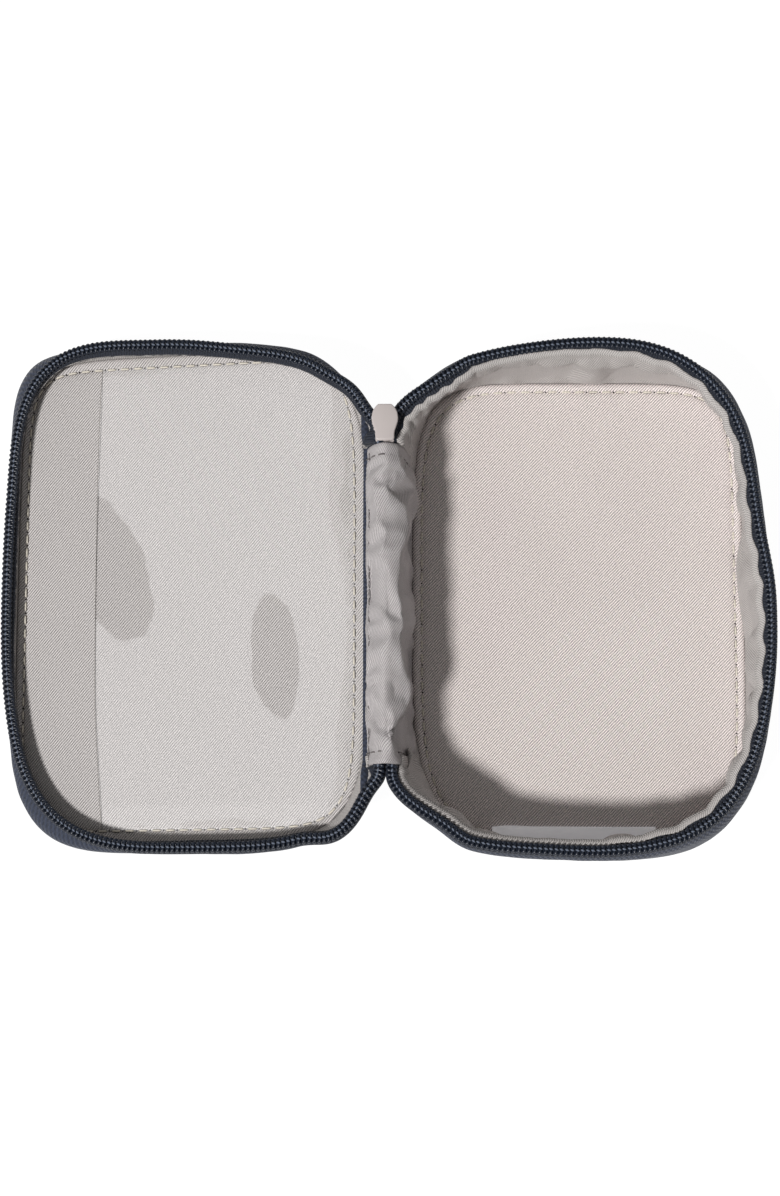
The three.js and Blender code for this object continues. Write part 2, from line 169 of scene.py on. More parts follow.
class Half:
    """One half of the case: its zipper's path, its outer shell's outline and its panel's."""

    def __init__(self, name, place, middle, spine_side, axis_x, closing, swells, top, low, shell,
                 panel, seam, seam_inset):
        self.name = name
        self.place = place
        self.centre = np.array(middle, float)
        self.spine_side = spine_side
        self.axis_x = axis_x
        self.path = self.zip_path(self.soft_rim(swells), top, low)
        self.loop = self.closed_loop(closing)
        self.shell = self.pattern("_shell_panel", *shell)
        self.panel = self.pattern("_lining_panel", *panel)
        self.seam = self.pattern("_lining_panel", *seam)
        self.seam_inset = seam_inset
        self.depth = -node_box(name + "_shell_panel", place)[0][2]
        self.floor = node_box(name + "_lining_panel", place)[1][2]

    def pattern(self, node, shift, grow, corners):
        """A soft outline: the box of a CAD node, shifted and grown a little, and its corners."""
        low, high = node_box(self.name + node, self.place)
        half_x, half_y = (high - low)[:2] / 2 + grow
        return (low + high)[:2] / 2 + shift, half_x, half_y, corners

    def soft_rim(self, swells):
        """The CAD coil's outer edge, closed along the spine, then swollen in a few places."""
        coil = node_points(self.name + "_zipper_coil", self.place)[:, :2]
        away = coil - self.centre
        angle, radius = np.arctan2(away[:, 1], away[:, 0]), np.linalg.norm(away, axis=1)
        grid = np.linspace(-math.pi, math.pi, 72, endpoint=False)
        rim = []
        for direction in grid:
            near = np.abs((angle - direction + math.pi) % (2 * math.pi) - math.pi) < 0.012
            if near.any():
                reach = radius[near].max()
            else:
                reach = (self.axis_x - self.centre[0]) / math.cos(direction)
            rim.append(reach)
        rim = np.array(rim)
        for towards, width, out in swells:
            rim += out * facing(grid, towards, width)
        spokes = np.stack([np.cos(grid), np.sin(grid)], 1)
        return smooth_loop(self.centre + rim[:, None] * spokes)

    def from_axis(self, points):
        """How far points are from the hinge line, on this half's side of it."""
        return (self.axis_x - points[:, 0]) * self.spine_side

    def zip_path(self, rim, top, low):
        """The coil's outer edge: the rim, with both ends bent onto the hinge line, where the two
        coils mesh: under the slider at the top, and just below the spine at its foot. top and
        low are (distance from the line, distance past the spine's end), from the rim on."""
        out = self.from_axis(rim) > JOIN_DISTANCE
        first = int(np.argmax(out & ~np.roll(out, 1)))
        rim = np.roll(rim, -first, 0)[:int(out.sum())]
        top = [(self.axis_x - self.spine_side * d, SPINE_HIGH_Y + y) for d, y in top]
        low = [(self.axis_x - self.spine_side * d, SPINE_LOW_Y - y) for d, y in low]
        ends = (low[::-1], top) if self.spine_side < 0 else (top[::-1], low)
        line = smooth_line(list(ends[0]) + rim[::2].tolist() + list(ends[1]), PATH_STEP)
        reach = round(3 * PATH_SOFTNESS / PATH_STEP)
        soft = soften(line, PATH_STEP, PATH_SOFTNESS)
        return np.concatenate([line[:reach], soft, line[-reach:]])

    def closed_loop(self, closing):
        """The path at 1 mm, kept closing millimetres off the hinge line and closed along it."""
        line = resample(self.path, 1.0)
        away = np.maximum(self.from_axis(line), closing)
        line[:, 0] = self.axis_x - self.spine_side * away
        back = resample(np.array([line[-1], line[0]]), 1.0)[1:-1]
        return np.concatenate([line, back])

    def angles(self, points):
        away = points - self.centre
        return np.arctan2(away[:, 1], away[:, 0])

    def shell_at(self, angles, inset=0.0):
        return superellipse(*self.shell, angles, inset)

    def panel_at(self, angles, inset=0.0):
        """The lining panel's outline, or a line inset in it. At seam_inset it is the topstitch."""
        share = min(max(inset / self.seam_inset, 0), 1)
        edge = superellipse(*self.panel, angles, min(inset, 0))
        seam = superellipse(*self.seam, angles, max(inset - self.seam_inset, 0))
        return edge * (1 - share) + seam * share


SPINE_LOW_Y, SPINE_HIGH_Y = (node_box("spine_lining", TRAY_PLACE)[k][1] for k in (0, 1))
HEM_LOW = SPINE_LOW_Y - 1.5
HEM_HIGH = SPINE_HIGH_Y
JOIN_DISTANCE = 18.0

# Each half is sewn from soft cloth, so its rim stands a little off the CAD's even outline: each
# swell is its direction from +X and its width in degrees, and how far out it goes in millimetres.
TRAY_SWELLS = ((26, 28, -2.3), (72, 34, 0.9), (112, 24, -1.2), (-52, 42, -1.8), (-102, 16, -0.6))
COVER_SWELLS = ((180, 110, 1.4), (124, 28, 2.2), (74, 22, -1.9), (232, 24, 0.6), (292, 40, 0.45))
TRAY = Half(
    "tray", TRAY_PLACE, (0, 0), -1, HINGE.x, 0.3, TRAY_SWELLS,
    top=((9.5, 15.4), (4.7, 12.0), (1.7, 8.6), (0.5, 6.0), (0.12, 4.0), (0.1, 0.0)),
    low=((12.2, 16.2), (7.9, 13.6), (3.6, 10.3), (1.0, 7.0), (0.15, 5.2), (0.1, 3.5), (0.1, -1.0)),
    shell=((0, 0.3), (0, -0.3), (4.7, 4.2, 3.5, 4.0)),
    panel=((0.9, 0), (0.3, -0.2), (6.2, 5.5, 4.1, 4.6)),
    seam=((0.9, 0), (-1.95, -2.45), (7.5, 5.5, 4.5, 5.5)), seam_inset=2.25)
COVER = Half(
    "cover", COVER_PLACE, (-49.8, 2.4), 1, 0.0, 4.2, COVER_SWELLS,
    top=((13.9, 19.6), (7.6, 15.2), (3.3, 8.9), (1.2, 6.6), (0.3, 4.6), (0.1, 2.0), (0.1, 0.0)),
    low=((14.5, 20.3), (11.4, 19.3), (8.6, 17.2), (6.0, 13.8), (4.2, 10.4), (2.7, 7.9), (0.9, 6.0),
         (0.1, 4.4), (0.1, -1.0)),
    shell=((0.5, 0), (0.3, -0.1), (4.0, 9, 4.8, 4.6)),
    panel=((0.65, 0), (2.0, 1.3), (4.1, 6.5, 4.6, 4.7)),
    seam=((-0.05, 0.3), (-0.95, -1.9), (6, 9, 9, 7)), seam_inset=3.0)


# ---- mesh building

def place_points(points, place):
    m = np.array(place)
    return points @ m[:3, :3].T + m[:3, 3]


def add_object(name, data):
    obj = bpy.data.objects.new(name, data)
    bpy.context.scene.collection.objects.link(obj)
    return obj


def add_mesh(name, points, faces, material, place=None, uv=None, smooth=True):
    """A mesh object from millimetre points, placed and written in metres."""
    points = np.asarray(points, float).reshape(-1, 3)
    if place is not None:
        points = place_points(points, place)
    mesh = bpy.data.meshes.new(name)
    mesh.from_pydata((points * MM).tolist(), [], faces)
    mesh.update()
    if uv is not None:
        layer = mesh.uv_layers.new(name="cloth")
        corner_vertex = np.zeros(len(mesh.loops), int)
        mesh.loops.foreach_get("vertex_index", corner_vertex)
        layer.data.foreach_set("uv", np.asarray(uv, float).reshape(-1, 2)[corner_vertex].ravel())
    mesh.polygons.foreach_set("use_smooth", [smooth] * len(mesh.polygons))
    for entry in material if isinstance(material, (list, tuple)) else [material]:
        mesh.materials.append(entry)
    return add_object(name, mesh)


def grid_faces(rows, columns, wrap_rows=False, wrap_columns=False):
    faces = []
    for i in range(rows if wrap_rows else rows - 1):
        for j in range(columns if wrap_columns else columns - 1):
            a, b = i * columns + j, i * columns + (j + 1) % columns
            c, d = ((i + 1) % rows) * columns + (j + 1) % columns, ((i + 1) % rows) * columns + j
            faces.append((a, d, c, b))
    return faces


def grid_uv(grid):
    """Cloth coordinates in millimetres, measured along the sheet's rows and columns."""
    across = np.linalg.norm(np.diff(grid, axis=1), axis=2).mean(0)
    along = np.linalg.norm(np.diff(grid, axis=0), axis=2).mean(1)
    u = np.concatenate([[0], np.cumsum(along)])
    v = np.concatenate([[0], np.cumsum(across)])
    return np.stack(np.meshgrid(u, v, indexing="ij"), -1)


def add_sheet(name, grid, material, place=None, thickness=0.0, wrap=False, uv=None):
    """A cloth sheet from a grid of points. A thickness makes it a closed body, with the grid
    as its outer face: faces turn outwards where rows run anticlockwise and columns run down."""
    rows, columns = grid.shape[:2]
    coords = grid_uv(grid) if uv is None else uv
    obj = add_mesh(name, grid, grid_faces(rows, columns, wrap), material, place, coords)
    if thickness:
        thicken(obj, thickness)
    return obj


def bake(obj):
    """The object's modifiers are applied to its mesh."""
    graph = bpy.context.evaluated_depsgraph_get()
    graph.update()
    baked = bpy.data.meshes.new_from_object(obj.evaluated_get(graph))
    old = obj.data
    obj.modifiers.clear()
    obj.data = baked
    bpy.data.meshes.remove(old)
    return obj


def thicken(obj, thickness, offset=-1.0):
    solid = obj.modifiers.new("thickness", "SOLIDIFY")
    solid.thickness = thickness * MM
    solid.offset = offset
    solid.use_even_offset = False
    return bake(obj)


def round_edges(obj, bevel):
    """Rounds an object's sharp edges over by bevel mm."""
    edge = obj.modifiers.new("edge", "BEVEL")
    edge.width = bevel * MM
    edge.segments = 3
    edge.limit_method = "ANGLE"
    edge.angle_limit = math.radians(50)
    return bake(obj)


def tube_parts(line, radius, sides, flat=1.0):
    """A thread or wire along a 3-D line, as points and faces. radius may be one number or one for
    each sample."""
    count = len(line)
    tangent = directions(line)
    up = np.array([0.0, 0.0, 1.0]) - tangent * tangent[:, 2:3]
    weak = np.linalg.norm(up, axis=1) < 0.05
    up[weak] = np.array([0.0, 1.0, 0.0])
    up /= np.linalg.norm(up, axis=1)[:, None]
    side = np.cross(tangent, up)
    turn = np.linspace(0, 2 * math.pi, sides, endpoint=False)
    r = np.broadcast_to(np.asarray(radius, float).reshape(-1, 1), (count, 1))[:, :, None]
    ring = (side[:, None] * np.cos(turn)[None, :, None]
            + up[:, None] * np.sin(turn)[None, :, None] * flat)
    points = line[:, None] + r * ring
    faces = grid_faces(count, sides, False, True)
    faces.append(tuple(range(sides)))
    faces.append(tuple(reversed(range((count - 1) * sides, count * sides))))
    return points.reshape(-1, 3), faces


def join_parts(parts):
    """Many (points, faces) parts as one."""
    points, faces, base = [], [], 0
    for part_points, part_faces in parts:
        points.append(part_points)
        faces.extend(tuple(base + index for index in face) for face in part_faces)
        base += len(part_points)
    return np.concatenate(points), faces


def add_tubes(name, tubes, material, place):
    """Many tubes as one object."""
    points, faces = join_parts(tubes)
    return add_mesh(name, points, faces, material, place)


def wrinkle(points, scale, seed):
    """Smooth noise of about -1 to 1 at each point, with features of about scale mm."""
    offset = Vector((seed * 13.7, seed * 7.3, seed * 3.1))
    flat = np.asarray(points, float).reshape(-1, 3)
    values = [noise.noise(Vector(p) / scale + offset) for p in flat]
    return np.array(values).reshape(np.asarray(points).shape[:-1])


# ---- materials

class Nodes:
    """A small helper to write the node tree of a material or a world."""

    def __init__(self, owner, output="ShaderNodeOutputMaterial"):
        owner.use_nodes = True
        self.owner = owner
        self.tree = owner.node_tree
        self.tree.nodes.clear()
        self.output = self.add(output)

    def feed(self, socket, value):
        """Links a socket to another, or sets its value."""
        if isinstance(value, bpy.types.NodeSocket):
            self.tree.links.new(value, socket)
        else:
            socket.default_value = value

    def add(self, kind, inputs=None, **settings):
        node = self.tree.nodes.new(kind)
        for key, value in settings.items():
            setattr(node, key, value)
        for key, value in (inputs or {}).items():
            self.feed(node.inputs[key], value)
        return node

    def math(self, operation, a, b):
        return self.add("ShaderNodeMath", {0: a, 1: b}, operation=operation).outputs[0]

    def mix(self, factor, a, b, blend="MIX"):
        node = self.add("ShaderNodeMix", {0: factor}, data_type="RGBA", blend_type=blend)
        self.feed(node.inputs[6], a)
        self.feed(node.inputs[7], b)
        return node.outputs[2]

    def noise(self, vector, scale, detail=2.0):
        inputs = {"Vector": vector, "Scale": scale, "Detail": detail}
        return self.add("ShaderNodeTexNoise", inputs).outputs["Fac"]

    def ribs(self, vector, pitch, angle, distortion=0.0):
        """Soft parallel ribs, pitch apart in the vector's units, running along angle."""
        turned = self.add("ShaderNodeMapping", {"Vector": vector, "Rotation": (0, 0, -angle)})
        wave = self.add("ShaderNodeTexWave", {
            "Vector": turned.outputs[0], "Scale": math.pi / (10 * pitch),
            "Distortion": distortion, "Detail": 1.0, "Detail Scale": 1.0},
            bands_direction="Y")
        return wave.outputs["Fac"]

    def finish(self, shader):
        """Sends a shader to the output, and returns the material or world."""
        self.feed(self.output.inputs[0], shader.outputs[0])
        return self.owner

    def surface(self, height, strength, distance, **inputs):
        """A principled surface, bumped by height with the distance in millimetres."""
        shader = self.add("ShaderNodeBsdfPrincipled")
        for key, value in inputs.items():
            self.feed(shader.inputs[key.replace("_", " ")], value)
        bump = self.add("ShaderNodeBump", {
            "Height": height, "Strength": strength, "Distance": distance * MM})
        self.feed(shader.inputs["Normal"], bump.outputs[0])
        return self.finish(shader)


def new_material(name):
    return Nodes(bpy.data.materials.new(name))


def srgb(red, green, blue):
    def linear(value):
        value /= 255
        return value / 12.92 if value <= 0.04045 else ((value + 0.055) / 1.055) ** 2.4
    return (linear(red), linear(green), linear(blue), 1.0)


def cloth_vector(nodes):
    return nodes.add("ShaderNodeUVMap", uv_map="cloth").outputs[0]


def twill(name, colour, pitch, angle, strength=0.5, roughness=0.8, sheen=0.2, contrast=0.16,
          mottle=0.05):
    """Woven twill: diagonal ribs broken up by the weft, in the cloth's own millimetres."""
    nodes = new_material(name)
    cloth = cloth_vector(nodes)
    ribs = nodes.ribs(cloth, pitch, angle, 0.35)
    weft = nodes.ribs(cloth, pitch * 0.72, angle + math.radians(68), 0.5)
    weave = nodes.math("ADD", nodes.math("MULTIPLY", ribs, 0.68), nodes.math("MULTIPLY", weft, 0.32))
    fuzz = nodes.noise(cloth, 3.1, 2.0)
    height = nodes.math("ADD", weave, nodes.math("MULTIPLY", fuzz, 0.35))
    patches = nodes.noise(cloth, 0.06, 3.0)
    shade = nodes.math("ADD", 1.0 - contrast * 0.5, nodes.math("MULTIPLY", weave, contrast))
    speckle = nodes.math("SUBTRACT", nodes.noise(cloth, 2.0, 1.0), 0.5)
    shade = nodes.math("ADD", shade, nodes.math("MULTIPLY", speckle, contrast * 0.4))
    shade = nodes.math("MULTIPLY", shade, nodes.math("ADD", 1 - mottle * 0.5,
                                                    nodes.math("MULTIPLY", patches, mottle)))
    tint = nodes.mix(1.0, colour, nodes.add("ShaderNodeCombineColor", {
        0: shade, 1: shade, 2: shade}).outputs[0], "MULTIPLY")
    return nodes.surface(height, strength, pitch * 0.25, Base_Color=tint, Roughness=roughness,
                         Sheen_Weight=sheen, Sheen_Roughness=0.5)


def thread(name, colour, roughness=0.6):
    nodes = new_material(name)
    place = nodes.add("ShaderNodeTexCoord").outputs["Object"]
    grain = nodes.noise(place, 2600.0, 2.0)
    tint = nodes.mix(nodes.math("MULTIPLY", grain, 0.45), colour,
                     tuple(c * 0.55 for c in colour[:3]) + (1.0,))
    return nodes.surface(grain, 0.5, 0.05, Base_Color=tint, Roughness=roughness,
                         Sheen_Weight=0.2)


def moulded(name, colour, roughness=0.4, metallic=0.0, grain=900.0, wear=0.08):
    """Moulded nylon, enamel or foam: a fine grain and slightly worn, lighter high spots."""
    nodes = new_material(name)
    place = nodes.add("ShaderNodeTexCoord").outputs["Object"]
    fine = nodes.noise(place, grain, 3.0)
    broad = nodes.noise(place, grain / 12, 2.0)
    lighter = tuple(min(1.0, c * 1.5 + 0.01) for c in colour[:3]) + (1.0,)
    tint = nodes.mix(nodes.math("MULTIPLY", broad, wear * 2), colour, lighter)
    rough = nodes.math("ADD", roughness - 0.06, nodes.math("MULTIPLY", fine, 0.12))
    return nodes.surface(fine, 0.12, 0.05, Base_Color=tint, Roughness=rough, Metallic=metallic)


LINING = twill("lining_twill", srgb(192, 188, 187), 0.55, math.radians(48), 1.0, 0.62, 0.15, 1.5)
BASE_LINING = twill("tray_base_lining", srgb(220, 211, 209), 0.55, math.radians(45), 1.0, 0.62,
                    0.15, 1.5)
NYLON_LINING = twill("thin_nylon_lining", srgb(185, 181, 179), 0.5, math.radians(60), 0.9, 0.5,
                     0.1, 0.95, 0.3)
# The spine's lining is the thin nylon again, painted a little darker: painted shade for the hump over the
# hinge, whose far slope faces away from the key light.
SPINE_LINING = twill("spine_nylon_lining", srgb(178, 174, 175), 0.5, math.radians(60), 0.9, 0.5,
                     0.1, 1.0, 0.4)
SHELL = twill("navy_shell_twill", srgb(46, 53, 70), 1.1, math.radians(58), 0.9, 0.8, 0.1, 0.7)
TAPE = twill("navy_zipper_tape", srgb(27, 33, 46), 0.7, math.radians(90), 0.9, 0.75, 0.1, 0.8)
COIL = moulded("navy_nylon_coil", srgb(25, 32, 45), 0.36)
# One navy thread in two colours: the outer row's lighter colour is a painted highlight, the inner row's
# darker colour painted shade.
COIL_THREAD = thread("navy_coil_thread", srgb(104, 114, 132), 0.5)
COIL_THREAD_DARK = thread("navy_coil_thread_dark", srgb(46, 54, 70), 0.55)
SEAM_THREAD = thread("cream_topstitch_thread", srgb(228, 222, 209))
SHELL_THREAD = thread("navy_topstitch_thread", srgb(66, 74, 92))
SPINE_THREAD = thread("grey_seam_thread", srgb(104, 99, 98))
# Painted shade: the dark marks at the needle holes, and the strips under the shell's navy stitches.
HOLE_SHADE = moulded("needle_hole_shadow", srgb(58, 52, 50), 0.9)
# Painted shade: the flat dark strip under each cream topstitch thread.
GROOVE_SHADE = moulded("seam_groove_shade", srgb(112, 104, 99), 0.9)
FILM_EDGE = moulded("film_cut_edge", srgb(160, 156, 153), 0.4)
ENAMEL = moulded("bone_enamel", srgb(194, 186, 184), 0.36, 0.0, 500.0, 0.03)
FOAM = moulded("white_foam", srgb(226, 222, 214), 0.95, 0.0, 1400.0, 0.2)
BOARD = moulded("plastic_board", srgb(230, 228, 222), 0.55, 0.0, 700.0, 0.05)


def satin(name, colour):
    nodes = new_material(name)
    cloth = cloth_vector(nodes)
    floats = nodes.ribs(cloth, 0.28, math.radians(90), 0.6)
    crease = nodes.noise(cloth, 0.5, 3.0)
    height = nodes.math("ADD", nodes.math("MULTIPLY", floats, 0.3), crease)
    # The emission is a painted glow: it lightens the label where it lies in the tray's shadow.
    return nodes.surface(height, 0.4, 0.25, Base_Color=colour, Roughness=0.33, Sheen_Weight=0.3,
                         Anisotropic=0.6, Emission_Color=colour, Emission_Strength=0.15)


def vinyl(name):
    """Clear film: mostly see-through, with a faint milky haze that is missing where the film
    lies against the lining, and a soft shine."""
    nodes = new_material(name)
    cloth = cloth_vector(nodes)
    clear = nodes.add("ShaderNodeBsdfTransparent", {"Color": (0.985, 0.985, 0.985, 1)})
    haze = nodes.add("ShaderNodeBsdfDiffuse", {"Color": (0.93, 0.93, 0.94, 1)})
    stuck = 0.0
    for (x, y), (half_x, half_y), turn in CONTACT_PATCHES:
        spot = cloth
        for key, value in (("Location", (-x, -y, 0)), ("Rotation", (0, 0, turn)),
                           ("Scale", (1 / half_x, 1 / half_y, 1))):
            spot = nodes.add("ShaderNodeMapping", {"Vector": spot, key: value}).outputs[0]
        wobble = nodes.noise(cloth, 0.09, 2.0)
        away = nodes.add("ShaderNodeVectorMath", {0: spot}, operation="LENGTH")
        away = nodes.math("ADD", away.outputs["Value"], nodes.math("MULTIPLY", wobble, 0.5))
        inside = nodes.add("ShaderNodeMapRange", {
            "Value": away, "From Min": 1.2, "From Max": 1.27, "To Min": 1.0, "To Max": 0.0},
            interpolation_type="SMOOTHSTEP").outputs[0]
        stuck = nodes.math("MAXIMUM", stuck, inside)
    lit = nodes.math("SUBTRACT", 1.0, nodes.add("ShaderNodeLightPath").outputs["Is Shadow Ray"])
    amount = nodes.math("SUBTRACT", 0.125, nodes.math("MULTIPLY", stuck, 0.115))
    amount = nodes.math("MULTIPLY", amount, lit)
    body = nodes.add("ShaderNodeMixShader", {0: amount, 1: clear.outputs[0], 2: haze.outputs[0]})
    shine = nodes.add("ShaderNodeBsdfGlossy", {"Roughness": 0.3})
    soft = nodes.noise(cloth, 0.05, 2.0)
    bump = nodes.add("ShaderNodeBump", {"Height": soft, "Strength": 0.12, "Distance": 0.002})
    nodes.feed(shine.inputs["Normal"], bump.outputs[0])
    edge = nodes.add("ShaderNodeFresnel", {"IOR": 1.25, "Normal": bump.outputs[0]})
    share = nodes.math("MULTIPLY", nodes.math("MINIMUM", edge.outputs[0], 0.1), lit)
    both = nodes.add("ShaderNodeMixShader", {0: share, 1: body.outputs[0], 2: shine.outputs[0]})
    return nodes.finish(both)


# Where the clear pocket lies against the lining: centre and half size from the hinge line in
# millimetres, and the patch's turn.
CONTACT_PATCHES = [
    ((-71.5, 10.5), (9.5, 20.0), math.radians(-24)),
    ((-28.3, -13.5), (6.0, 16.5), math.radians(-4)),
]
VINYL = vinyl("clear_vinyl")
SATIN = satin("white_satin", srgb(236, 235, 238))


def finish_piece(obj, body, slot_name, *nodes):
    """Rides a piece on its body and hides the CAD nodes it stands for. Its slot_name is not used."""
    if nodes:
        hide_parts(*nodes)
    if body:
        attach(obj, body)
    return obj


# ---- panels and seams

def add_panel(name, half, outline, levels, material, sag, puff, seed, thickness, down=False):
    """A sewn panel: an edge profile of (inset, z) levels from the outside in, then a soft flat
    middle. puff(points, inset) adds height."""
    rings, samples = 14, 480
    angles = np.linspace(-math.pi, math.pi, samples, endpoint=False)
    rows = [np.column_stack([outline(angles, inset), np.full(samples, z)]) for inset, z in levels]
    insets = [np.full(samples, float(inset)) for inset, _ in levels]
    last, low = rows[-1], levels[-1][1]
    middle = np.append(np.mean(last[:, :2], 0), low)
    span = np.linalg.norm(last - middle, axis=1).mean()
    for share in np.linspace(1, 0.06, rings + 1)[1:]:
        row = middle + (last - middle) * share
        rows.append(row)
        insets.append(levels[-1][0] + span * (1 - share) * np.ones(samples))
    grid, inset = np.array(rows), np.array(insets)
    grid[..., 2] += sag * wrinkle(grid * (1, 1, 0), 26.0, seed) * smoothstep(inset / 8)
    grid[..., 2] += puff(grid, inset)
    count = grid.shape[0] * samples
    points = np.concatenate([grid.reshape(-1, 3), grid[-1].mean(0)[None]])
    faces = [tuple(reversed(face)) for face in grid_faces(grid.shape[0], samples, False, True)]
    faces += [(count - samples + i, count - samples + (i + 1) % samples, count)
              for i in range(samples)]
    if down:
        faces = [tuple(reversed(face)) for face in faces]
    obj = add_mesh(name, points, faces, material, half.place, points[:, :2])
    return thicken(obj, thickness)


STITCH_LENGTH = 2.45
STITCH_RADIUS = 0.25
GROOVE_MARGIN = 0.1


def stitch_marks(name, line, surface, half, slot_name, material):
    """Topstitching round a closed line at the cloth's surface height: a short raised thread in each
    pitch, lying on a flat dark strip of painted shade, with a dark mark of painted shade at the needle hole
    between two."""
    step = 0.1
    fine = resample(np.concatenate([line, line[:1]]), step)
    last = len(fine) - 1
    total = step * last
    count = int(total / STITCH_PITCH)
    along = np.linspace(-1, 1, 7)
    threads, hole_shades, groove_shades = [], [], []
    for i in range(count):
        middle = (i + 0.5) * total / count
        s = np.linspace(middle - STITCH_LENGTH / 2, middle + STITCH_LENGTH / 2, 7) / total * last
        spots = fine[np.clip(s.astype(int), 0, last)]
        arched = np.column_stack([spots, surface + 0.2 - 0.36 * along ** 4])
        size = STITCH_RADIUS * np.sqrt(np.clip(1.04 - along ** 6, 0.05, 1))
        threads.append(tube_parts(arched, size, 8))
        bed = np.column_stack([spots, np.full(7, surface + 0.02)])
        size = (STITCH_RADIUS + GROOVE_MARGIN) * np.sqrt(1.04 - along ** 6)
        groove_shades.append(tube_parts(bed, size, 8, flat=0.2))
        edge = np.clip(int((middle + STITCH_PITCH / 2) / total * last), 1, last - 1)
        hole = fine[[edge - 1, edge + 1]]
        hole = hole.mean(0) + (hole - hole.mean(0)) * 2.2
        hole = resample(np.column_stack([hole, np.full(2, surface)]), 0.11)
        swell = np.sin(np.linspace(0.25, math.pi - 0.25, len(hole)))
        hole_shades.append(tube_parts(hole, 0.27 * swell, 8, flat=0.35))
    # The hole marks and the strips under the threads are painted shade.
    materials = [material, HOLE_SHADE, GROOVE_SHADE if material is SEAM_THREAD else HOLE_SHADE]
    obj = add_tubes(name, threads + hole_shades + groove_shades, materials, half.place)
    counts = [sum(len(part[1]) for part in parts) for parts in (threads, hole_shades, groove_shades)]
    index = np.repeat(np.arange(3, dtype=np.int32), counts)
    obj.data.polygons.foreach_set("material_index", index)
    return finish_piece(obj, half.name, slot_name)


def seam_puff(stitch_inset):
    """Height added to a lining: a groove under the topstitch and soft puckers either side."""
    def puff(grid, inset):
        groove = -0.3 * np.exp(-((inset - stitch_inset) / 0.55) ** 2)
        near = np.exp(-((inset - stitch_inset) / 2.4) ** 2)
        pucker = 0.14 * wrinkle(grid * (1, 1, 0), 4.2, 3) * near
        roll = 0.18 * np.exp(-((inset - 1.1) / 0.6) ** 2)
        return groove + pucker + roll
    return puff


# ---- tray base and cover panel

ALL_ROUND = np.linspace(-math.pi, math.pi, 720, endpoint=False)


def lining_panel(half, material, insets, tuck, sag, seed, stitch_drop):
    """A lining panel with its edge tucked under, and the topstitch round it."""
    levels = [(-0.5, half.floor - 0.9), (0.0, half.floor - tuck)]
    levels += [(inset, half.floor) for inset in insets]
    obj = add_panel(half.name + "_lining_panel_soft", half, half.panel_at, levels, material,
                    sag=sag, puff=seam_puff(half.seam_inset), seed=seed, thickness=0.45)
    finish_piece(obj, half.name, "lining", half.name + "_lining_panel")
    stitch_marks(half.name + "_lining_topstitch", half.panel_at(ALL_ROUND, half.seam_inset),
                 half.floor - stitch_drop, half, "lining", SEAM_THREAD)


lining_panel(TRAY, BASE_LINING, (0.4, 0.8, 1.2, 1.6, 1.95, 2.25, 2.55, 2.9, 3.4, 4.2, 5.5, 7.5),
             0.35, 0.35, 2, 0.28)
lining_panel(COVER, LINING, (0.4, 0.8, 1.2, 1.7, 2.2, 2.6, 2.8, 3.0, 3.2, 3.5, 4.2, 5.5, 7.5),
             0.4, 0.3, 5, 0.12)


SHELL_STITCH_INSET = 2.2


def shell_panel(half, bulge):
    """The padded outer panel: a crowned face with a rolled, topstitched edge at the gusset seam."""
    low = -half.depth
    levels = [(0.9, low + 1.7), (0.15, low + 1.5), (-0.2, low + 0.95), (0.1, low + 0.4),
              (0.7, low + 0.12), (1.5, low + 0.15), (2.2, low + 0.28), (3.0, low + 0.12),
              (4.5, low + 0.05), (7.0, low)]

    def crown(grid, inset):
        return -bulge * smoothstep((inset - SHELL_STITCH_INSET) / 14)

    obj = add_panel(half.name + "_shell_panel_soft", half, half.shell_at, levels, SHELL,
                    sag=0.15, puff=crown, seed=9, thickness=0.8, down=True)
    finish_piece(obj, half.name, "shell_twill", half.name + "_shell_panel")
    line = half.shell_at(ALL_ROUND, SHELL_STITCH_INSET)[::-1]
    stitch_marks(half.name + "_shell_topstitch", line, low + 0.28, half, "shell_twill", SHELL_THREAD)


shell_panel(TRAY, 0.0)
shell_panel(COVER, 0.6)


# ---- walls

